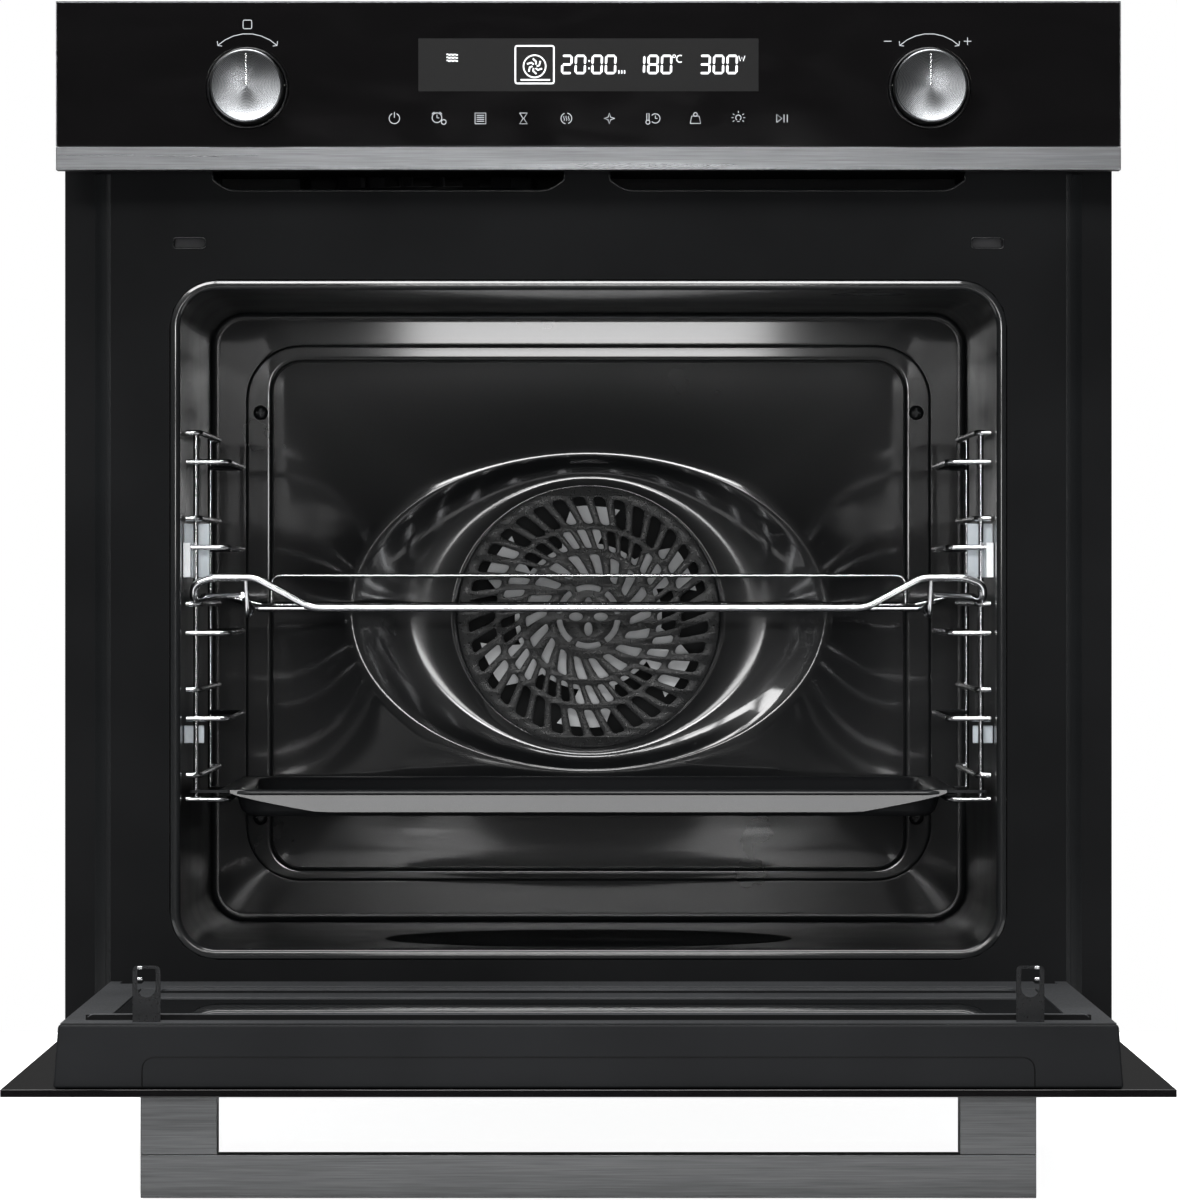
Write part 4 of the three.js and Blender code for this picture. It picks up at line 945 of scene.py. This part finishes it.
def wire_shelf():
    """A stepped rim wire, rails, a guard at the back, rods and two cross wires."""
    low, high = corners("wire_shelf")
    front, back = low.y + 2, high.y - 2
    rail, inner, z, floor, ends = high.x - 1.8, 191.0, 262.0, 255.7, high.z - 2.5
    foot, guard, stop = 251.4, 274.5, back - 42
    shape = Shape()
    half_rim = [(205, back, floor + 1), (rail, back, z), (rail, front + 12, z), (223.6, front + 3, 259.5),
                (223.6, front + 0.6, ends - 4), (213, front, ends), (188.5, front, ends), (156.5, front, floor)]
    shape.tube(half_rim + facing(-1, half_rim)[::-1], 2.2, 5, 16)
    shape.tube([(205, back, floor + 1), (-205, back, floor + 1)], 2.0, 0, 16)
    rear_guard = [(inner, stop, floor), (inner, stop, guard), (-inner, stop, guard), (-inner, stop, floor)]
    shape.tube(rear_guard, 1.2, 6, 12)
    side_wires = (
        ([(196, front + 4, z + 1), (inner, front + 30, floor), (inner, back, floor + 1)], 1.6, 9),
        ([(194, front, ends), (193, front + 3, foot), (193, front + 40, foot), (inner, front + 44, floor)],
         1.4, 6),
        ([(196, front + 5, z + 1), (rail, front + 14, z)], 1.4, 0),
        ([(inner, stop, floor), (rail, stop, z)], 1.4, 0),
    )
    for _, side in SIDES:
        for route, radius, bend in side_wires:
            shape.tube(facing(side, route), radius, bend)
    rods, pitch = 22, 14.2
    for i in range(rods):
        x = (i - (rods - 1) / 2) * pitch
        shape.tube([(x, front, floor), (x, back, floor + 1)], 1.25, 0, 10)
    for y in (front + 90, front + 210):
        shape.tube([(inner, y, floor - 0.5), (-inner, y, floor - 0.5)], 1.6, 0, 12)
    piece("shelf_wires", shape, "wire_shelf", CHROME, ["wire_shelf"], sharp=50)


def tray():
    """A pressed tray with a rolled rim, a lip that dips at the front, and two ears."""
    low, high = corners("baking_tray")
    front, back, top, bottom = low.y, high.y, high.z, low.z

    def ring(half, grow, corner, z):
        rect = {"half": half, "low": front - grow, "high": back + grow, "corner": corner}
        return [(x, y, z) for x, _, y in band(rect, [(0, 0)], 8)[0]]

    profile = (
        (192, -25, 12, bottom + 1.4), (195, -22.5, 14, bottom + 2.2), (197, -20.5, 15, bottom + 4.5),
        (199, -16.5, 16, top - 3), (200, -15.5, 16, top - 1.2), (202, -13.5, 17, top - 0.2),
        (206, -8, 18, top), (209, -3, 18, top), (209.6, -1.2, 18, top - 0.9), (209, -0.6, 18, top - 2.2),
        (207.6, -1.6, 17, top - 2.6), (206.5, -3, 17, top - 1.6), (202.5, -12, 17, top - 1.4),
        (200.5, -15, 16, top - 2.6), (197.8, -19.5, 15, bottom + 3.4), (194, -23, 13, bottom),
        (190, -27, 12, bottom),
    )
    shape = Shape().loft([ring(*row) for row in profile], caps=True)
    half, ramp, shallow, deep, steps = 207, 0.26, 0.6, 12.2, 24
    lip = []
    for i in range(-steps, steps + 1):
        share = i / steps
        drop = deep * min(1.0, (1 - abs(share)) / ramp) ** 0.75 + shallow
        x, rear = half * share, front + 4.2
        near = rear - 1.2 - 2.8 * drop / (deep + shallow)
        lip.append([(x, rear, top - 0.1), (x, rear - 1.2, top - 0.15), (x, near, top - drop + 0.3),
                    (x, near + 0.3, top - drop), (x, rear + 0.4, top - 1.4)])
    shape.loft(lip, caps=True)
    for _, side in SIDES:
        ear = ((203, front + 0.6), (225.6, front + 0.6), (225.6, front + 5), (203, front + 8))
        shape.flat(rounded([(side * x, y) for x, y in ear], 1.5, 3), top - 1.6, top - 0.1)
    piece("tray_pan", shape, "baking_tray", TRAY_ENAMEL, ["baking_tray"], sharp=50)


for name, side in SIDES:
    side_rack(name, side)
    for level in ("upper", "lower"):
        rack_holder(level, name, side)
wire_shelf()
tray()


# ---------- front frame ----------
def frame_steps():
    """The rounded step down each side of the front frame."""
    profile = ((269.2, -0.06), (271.5, -0.02), (273.6, 0.25), (275.3, 0.85), (276.6, 1.6), (277.5, 2.2),
               (278.2, 2.42))
    foot, sheet = 0.4, 0.4
    for name, side in SIDES:
        outline = [(side * x, FACADE_Y + y) for x, y in profile]
        outline += [(side * x, FACADE_Y + y + sheet) for x, y in profile[::-1]]
        shape = Shape().flat(outline, foot, FACADE_TOP)
        piece("frame_step_" + name, shape, "oven", STEP_PAINT, sharp=50)


def vent_lips():
    """Turned lips round the two air outlets and the latch slots."""
    shape = Shape()
    top, shoulder, foot, slope = FACADE_TOP, 497, 490.8, 9
    for left, right in ((-211.8, -13.5), (11.8, 212.4)):
        route = [(left, top), (left, shoulder), (left + slope, foot),
                 (right - slope, foot), (right, shoulder), (right, top)]
        shape.tube([(x, FACADE_Y, z) for x, z in route], 0.7, 5, 10)
    for _, side in SIDES:
        middle, half = side * 224.8, 9.3
        slot = rounded(rectangle(middle - half, middle + half, 458.3, 464.5), 2.6, 5)
        shape.tube([(x, FACADE_Y, z) for x, z in slot], 0.35, 0, 8, closed=True)
    piece("vent_lips", shape, "oven", STEP_PAINT, sharp=60)


frame_steps()
vent_lips()


# ---------- knobs and panel ----------
PANEL_Y = corners("panel_glass")[0].y
KNOB_TRAVEL = 19.0


def knob(name):
    """A hollow turned cap with its bright mark, in a black collar."""
    low, high = corners("knob_" + name)
    x, z = axis_of("knob_" + name)
    front, back, radius, axis = low.y, high.y, (high.x - low.x) / 2, 0.01
    face, inside = front + 0.9, radius - 2.5
    ceiling = corners("knob_shaft_" + name)[0].y - KNOB_TRAVEL - 0.4
    cap = Shape().lathe([
        (axis, face), (19.0, face), (19.3, face - 0.1), (19.55, front + 0.2), (19.75, front + 0.1),
        (radius - 0.15, front + 0.4), (radius, front + 0.9), (radius, back - 1.2), (radius - 0.5, back),
        (inside, back), (inside, ceiling), (axis, ceiling),
    ], x, z, 128)
    piece("knob_cap_" + name, cap, "knob_" + name, TURNED, ["knob_" + name], sharp=25)
    mark = Shape().block((x - 0.4, face - 0.15, z + 0.3), (x + 0.4, face + 0.3, z + 18.0))
    piece("knob_mark_" + name, mark, "knob_" + name, TURNED_EDGE, edge=0.1)
    low, high = corners("knob_bezel_" + name)
    outer, lip, foot = (high.x - low.x) / 2, low.y, high.y
    collar = Shape().lathe([
        (outer, foot), (outer, lip + 0.9), (outer - 0.3, lip + 0.3), (outer - 0.8, lip),
        (outer - 1.2, lip + 0.1), (radius + 0.9, lip + 0.9), (radius + 0.5, lip + 1.6), (radius + 0.5, foot),
    ], x, z, 128, closed=True)
    piece("knob_collar_" + name, collar, "oven", COLLAR, ["knob_bezel_" + name], sharp=50)


for name, _ in SIDES:
    knob(name)


# ---------- symbols ----------
class Drawing:
    """Strokes and filled shapes that lie on the panel's glass, drawn round a point that can move."""

    def __init__(self):
        self.shape = Shape()
        self.at(0, 0)

    def at(self, x, z):
        self.x, self.z = x, z
        return self

    def line(self, points, closed=False, width=0.5):
        route = [(self.x + x, PANEL_Y, self.z + z) for x, z in points]
        if closed:
            route = route + [route[0]]
        self.shape.tube(route, width / 2, 0, 6)
        return self

    def ring(self, x, z, radius, start=0, turn=360, width=0.5):
        count = max(int(abs(turn) / 12), 6)
        arc = circle(x, z, radius, count + 1, math.radians(start), math.radians(turn) * 0.99999)
        return self.line(arc, width=width)

    def fill(self, outline):
        moved = [(self.x + x, self.z + z) for x, z in outline]
        self.shape.upright(moved, PANEL_Y - 0.12, PANEL_Y + 0.05)

    def done(self, name, material):
        piece(name, self.shape, "oven", material)


SEGMENTS = {"0": "abcdef", "1": "bc", "2": "abged", "3": "abgcd", "8": "abcdefg"}


def digits(drawing, text, left, foot):
    """Seven-segment digits from a left end and a foot."""
    width, height, half, t, lean, gap = 6.4, 10.9, 5.45, 0.625, 0.03, 0.2

    def across(z):
        return [(t * 1.2, z), (t * 2, z - t), (width - t * 2, z - t), (width - t * 1.2, z),
                (width - t * 2, z + t), (t * 2, z + t)]

    def upward(x, low, high):
        return [(x, low), (x + t, low + t), (x + t, high - t), (x, high), (x - t, high - t), (x - t, low + t)]

    lower, upper = (t * 1.2, half - gap), (half + gap, height - t * 1.2)
    shapes = {
        "a": across(height - t), "g": across(half), "d": across(t),
        "f": upward(t, *upper), "b": upward(width - t, *upper),
        "e": upward(t, *lower), "c": upward(width - t, *lower),
    }
    for character in text:
        outlines, step = [shapes[segment] for segment in SEGMENTS.get(character, "")], width + 1.15
        if character == ":":
            outlines, step = [rectangle(0.1, 1.0, z - 0.5, z + 0.5) for z in (height * 0.3, height * 0.68)], 1.8
        drawing.at(left, foot)
        for outline in outlines:
            drawing.fill([(x + z * lean, z) for x, z in outline])
        left += step
    drawing.at(0, 0)


def display():
    """The lit window: an oven symbol, digits and unit marks."""
    screen = Shape().upright(rectangle(-95.0, 95.0, 544.6, 574.1), PANEL_Y - 0.02, PANEL_Y + 0.1)
    piece("display_window", screen, "oven", SCREEN)
    lights, foot = Drawing(), 554.1
    for text, left in (("20:00", -15.4), ("180", 25.2), ("300", 61.8)):
        digits(lights, text, left, foot)
    for x in (17.0, 18.6, 20.2):
        lights.line([(x, foot + 0.3), (x, foot + 2.2)], width=0.8)
    lights.ring(47.9, 564.2, 0.75, width=0.45).ring(51.2, 562.7, 1.9, 60, 240, width=0.7)
    lights.line([(84.0, 564.4), (84.9, 561.4), (85.7, 563.6), (86.5, 561.4), (87.4, 564.4)], width=0.55)
    # a fan in a frame, over a bar of bottom heat
    lights.line(rounded(rectangle(-40.8, -19.3, 548.9, 569.9), 1.2, 3), closed=True, width=0.95)
    lights.line([(-37.9, 550.9), (-21.4, 550.9)], width=0.95)
    lights.at(-30.05, 558.5).ring(0, 0, 6.2, width=0.85)
    for i in range(6):
        turn = math.pi / 3 * i
        blade = [(r * math.cos(turn + lean), r * math.sin(turn + lean))
                 for r, lean in ((1.2, 0), (2.7, 0.2), (4.4, 0.75))]
        lights.line(blade, width=1.0)
    # three waves
    lights.at(-79.2, 565.0)
    for k in range(3):
        wave = [(i * 0.39, 0.35 * math.sin(i * 1.2) - k * 1.7) for i in range(17)]
        lights.line(wave, width=0.75)
    lights.done("display_digits", DIGIT)


def touch_symbols():
    """Ten generic touch symbols under the display."""
    marks = Drawing()
    row = 529.4
    # power
    marks.at(-108.4, row).ring(0, 0, 2.9, 115, 310).line([(0, 0.4), (0, 3.6)])
    # alarm clock
    marks.at(-83.8, row).ring(-0.8, 0.4, 2.7).line([(-0.8, 2.1), (-0.8, 0.3), (0.5, 0.3)])
    marks.line([(-3.6, 2.4), (-2.2, 3.6)]).line([(0.6, 3.6), (2.0, 2.4)]).ring(3.0, -2.0, 1.3)
    # list
    marks.at(-60.3, row).line(rectangle(-3, 3, -3, 3), closed=True)
    for z in (-1.6, -0.5, 0.6, 1.7):
        marks.line([(-2.1, z), (2.1, z)])
    # hourglass
    marks.at(-36.3, row)
    marks.line([(-2.1, 3), (2.1, 3), (0.2, 0), (2.1, -3), (-2.1, -3), (-0.2, 0)], closed=True)
    # heat
    marks.at(-12.3, row).ring(0, 0, 3.0, 110, 150).ring(0, 0, 3.0, -70, 150)
    for x in (-1.3, 0, 1.3):
        marks.line([(x + 0.3 * math.sin(i * 1.5), -1.3 + i * 0.65) for i in range(5)], width=0.4)
    # star
    marks.at(11.7, row).line([circle(0, 0, (3.0, 1.0)[i % 2], 8)[i] for i in range(8)], closed=True)
    # probe and clock
    marks.at(35.8, row).line([(-3.2, -1.2), (-3.2, 2.8), (-1.9, 2.8), (-1.9, -1.2)]).ring(-2.55, -2.1, 1.1)
    marks.ring(1.6, 0, 2.6, -140, 280).line([(1.6, 1.6), (1.6, 0), (2.8, 0)])
    # weight
    marks.at(59.8, row).ring(0, 2.2, 1.0)
    marks.line([(-2.9, -2.8), (2.9, -2.8), (2.1, 1.3), (-2.1, 1.3)], closed=True)
    # lamp
    marks.at(83.8, row).ring(0, 0.4, 1.5, -60, 300).line([(-0.7, -1.7), (0.7, -1.7)], width=0.4)
    for degrees in (-35, 0, 35, 145, 180, 215, 90):
        turn = math.radians(degrees)
        marks.line([(r * math.cos(turn), 0.4 + r * math.sin(turn)) for r in (2.7, 3.8)], width=0.4)
    # start and pause
    marks.at(108.4, row).line([(-3.2, -2.2), (-3.2, 2.2), (-0.2, 0)], closed=True)
    for x in (0.9, 2.7):
        marks.line([(x, -2.2), (x, 2.2)])
    marks.done("touch_symbols", SYMBOL)


def knob_symbols():
    """A turning arrow over each knob, a square at the left, minus and plus at the right."""
    marks = Drawing()
    reach, half_turn, lift = 24.2, 43.3, 6.0
    for name, side in SIDES:
        marks.at(*axis_of("knob_" + name)).ring(0, lift, reach, 90 - half_turn, half_turn * 2)
        for lean in (-1, 1):
            a = math.radians(90 - lean * half_turn)
            x, z = reach * math.cos(a), lift + reach * math.sin(a)
            marks.line([(x - lean * 2.4, z - 0.3), (x, z), (x + lean * 0.2, z + 2.4)])
        if side < 0:
            marks.line(rounded(rectangle(-2.4, 2.4, 33.0, 37.8), 0.9, 3), closed=True)
        else:
            for x in (-23.3, 21.3):
                marks.line([(x - 2.1, 26), (x + 2.1, 26)])
            marks.line([(21.3, 23.9), (21.3, 28.1)])
    marks.done("knob_symbols", SYMBOL)


def panel_edges():
    """The bright ground edges round the control glass."""
    low, high = corners("panel_glass")
    front, back, top, side_width = PANEL_Y - 0.05, PANEL_Y + 0.6, high.z - 1.0, 0.6
    shape = Shape().block((low.x, front, top), (high.x, back, high.z))
    for _, side in SIDES:
        x0, x1 = span(side, high.x, high.x - side_width)
        shape.block((x0, front, low.z), (x1, back, top - 0.1))
    piece("panel_edges", shape, "oven", STEEL, edge=0.1)


display()
touch_symbols()
knob_symbols()
panel_edges()


# ---------- door details ----------
def handle():
    """A flat bar on two broad posts."""
    low, high = corners("handle")
    post, bar, gap = 39.0, 22.0, 0.12
    shape = Shape().block((low.x, low.y, low.z), (high.x, high.y, low.z + bar))
    for _, side in SIDES:
        x0, x1 = span(side, high.x, high.x - post)
        shape.block((x0, low.y, low.z + bar + gap), (x1, high.y, high.z))
    piece("door_handle", shape, "door", SHADED_HANDLE_STEEL, ["handle"], edge=0.35)


def door_details():
    """Strip, seal and lines on the door's inner side."""
    glass_low, glass_high = corners("inner_glass")
    liner_top, trim_low, trim_high = corners("door_liner")[1].z, *corners("door_trim")
    half, wide = glass_high.x - 1, 104
    window = rounded(rectangle(-235, 235, 50, 98), 6, 3)
    strip = plate_of("door_glass_strip", [rectangle(-half, half, 0, wide), window], 0, 0.8, 0.15)
    strip.transform(Matrix.Translation((0, (glass_high.y - wide) * MM, (glass_high.z + 0.5) * MM))
                    @ Matrix.Rotation(-math.pi / 2, 4, "X"))
    piece("door_glass_strip", strip, "door", LIT_DOOR_COAT)

    y, half = glass_low.y - 9.3, 257.4
    seal = Shape().block((-half, y, trim_high.z), (half, y + 0.5, liner_top - 0.3))
    piece("door_seal", seal, "door", RUBBER)
    y, foot, top = y + 0.2, liner_top - 1.5, liner_top - 0.1
    route = [(-half + 1, y, foot), (-half + 3, y, top), (half - 3, y, top), (half - 1, y, foot)]
    piece("door_seal_bead", Shape().tube(route, 0.35, 1, 8), "door", LIT_DOOR_COAT)

    y, foot, top, half = trim_low.y + 0.02, trim_low.z + 0.2, trim_low.z + 15.6, 226
    route = [(-half, y, foot), (-half, y, top), (half, y, top), (half, y, foot)]
    piece("door_badge_line", Shape().tube(route, 0.35, 7, 8), "door", RUBBER)


def hook_bits():
    """Plated rollers at the top of each latch hook."""
    for name, side in SIDES:
        low, high = corners("latch_hook_" + name)
        x = side * (max(abs(low.x), abs(high.x)) - 3.7)
        shape = Shape()
        for z in (high.z - 0.9, high.z - 6.6):
            shape.block((x - 1.4, low.y - 0.5, z - 0.8), (x + 1.4, high.y + 0.5, z + 0.8))
        piece("hook_rollers_" + name, shape, "door", CHROME, edge=0.4)


handle()
door_details()
hook_bits()


# ---------- studio ----------
# The camera and the lights are in metres, the floor in millimetres.
CAMERA_AWAY = 4.717
EYE = 0.2676
LENS = 253.3
SHIFT = (0.0005, -0.0108)
FLOOR_RADIUS, FLOOR_THICK, FLOOR_GAP = 1200, 10, 1.0
WHITE = (1, 1, 1, 1)
# name, place, aim, width, height, watts, mirrored in gloss
SOFTBOXES = (
    ("rim_card", (0, -4.9, 0.59), (0, -0.2, 0.42), 0.48, 0.17, 9.0, True),
    ("glow_card", (0, -4.9, 0.36), (0, -0.2, 0.36), 0.44, 0.14, 3.0, True),
    ("crest", (0, -4.6, 2.35), (0, -0.2, 0.35), 1.0, 0.6, 40, True),
    ("front_fill", (0, -5.2, 0.17), (0, -0.2, 0.17), 1.2, 1.0, 75, False),
    ("key", (-1.3, -3.9, 2.3), (0, -0.3, 0.3), 1.6, 0.9, 85, True),
    ("top", (-0.2, -0.8, 2.6), (0, -0.3, 0.2), 2.0, 0.7, 55, True),
    ("left", (-2.2, -4.2, 0.9), (0, -0.3, 0.3), 1.2, 1.6, 26, False),
    ("right", (2.2, -4.2, 0.9), (0, -0.3, 0.3), 1.2, 1.6, 14, False),
    ("floor_light", (0, 1.6, 3.2), (0, 1.0, 0), 6.0, 3.6, 120, True),
)


def add_camera(scene):
    data = bpy.data.cameras.new("camera")
    data.lens = LENS
    data.sensor_width = 36
    data.shift_x, data.shift_y = SHIFT
    camera = added("camera", data)
    camera.location = (0, PANEL_Y * MM - CAMERA_AWAY, EYE)
    camera.rotation_euler = (math.radians(90), 0, 0)
    scene.camera = camera


def add_world(scene):
    """White where the camera sees it, and faint as a light."""
    world = bpy.data.worlds.new("studio")
    world.use_nodes = True
    scene.world = world
    tree = world.node_tree
    faint, seen = tree.nodes["Background"], tree.nodes.new("ShaderNodeBackground")
    for background, strength in ((faint, 0.045), (seen, 1.0)):
        background.inputs["Color"].default_value = WHITE
        background.inputs["Strength"].default_value = strength
    rays = tree.nodes.new("ShaderNodeLightPath")
    either = tree.nodes.new("ShaderNodeMixShader")
    tree.links.new(rays.outputs["Is Camera Ray"], either.inputs["Fac"])
    tree.links.new(faint.outputs["Background"], either.inputs[1])
    tree.links.new(seen.outputs["Background"], either.inputs[2])
    tree.links.new(either.outputs["Shader"], tree.nodes["World Output"].inputs["Surface"])


def add_floor():
    """A pale round floor that glows where the camera sees it."""
    paint = Paint("studio_floor", Emission_Color=WHITE)
    paint.colours(paint.noise(3), [(0.3, (0.86, 0.86, 0.86)), (0.7, (0.88, 0.88, 0.88))])
    paint.rough(paint.noise(5), 0.85, 0.95)
    glow = paint.spread(paint.node("LightPath").outputs["Is Camera Ray"], 0.0, 0.95, 0.0, 1.0)
    paint.join(glow, paint.shader.inputs["Emission Strength"])
    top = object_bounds()[0].z / MM - FLOOR_GAP
    mesh = mesh_of("floor", Shape().flat(circle(0, -250, FLOOR_RADIUS, 96), top - FLOOR_THICK, top))
    mesh.materials.append(paint.material)
    added("floor", mesh)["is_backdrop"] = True


def add_light(name, place, aim, width, height, watts, mirrored):
    data = bpy.data.lights.new(name, "AREA")
    data.shape = "RECTANGLE"
    data.size, data.size_y = width, height
    data.energy = watts
    light = added(name, data)
    light.location = place
    light.rotation_euler = (Vector(aim) - Vector(place)).to_track_quat("-Z", "Y").to_euler()
    light.visible_glossy = mirrored


def studio(scene):
    add_camera(scene)
    add_world(scene)
    add_floor()
    for softbox in SOFTBOXES:
        add_light(*softbox)
    scene.view_settings.view_transform = "Standard"


studio(bpy.context.scene)
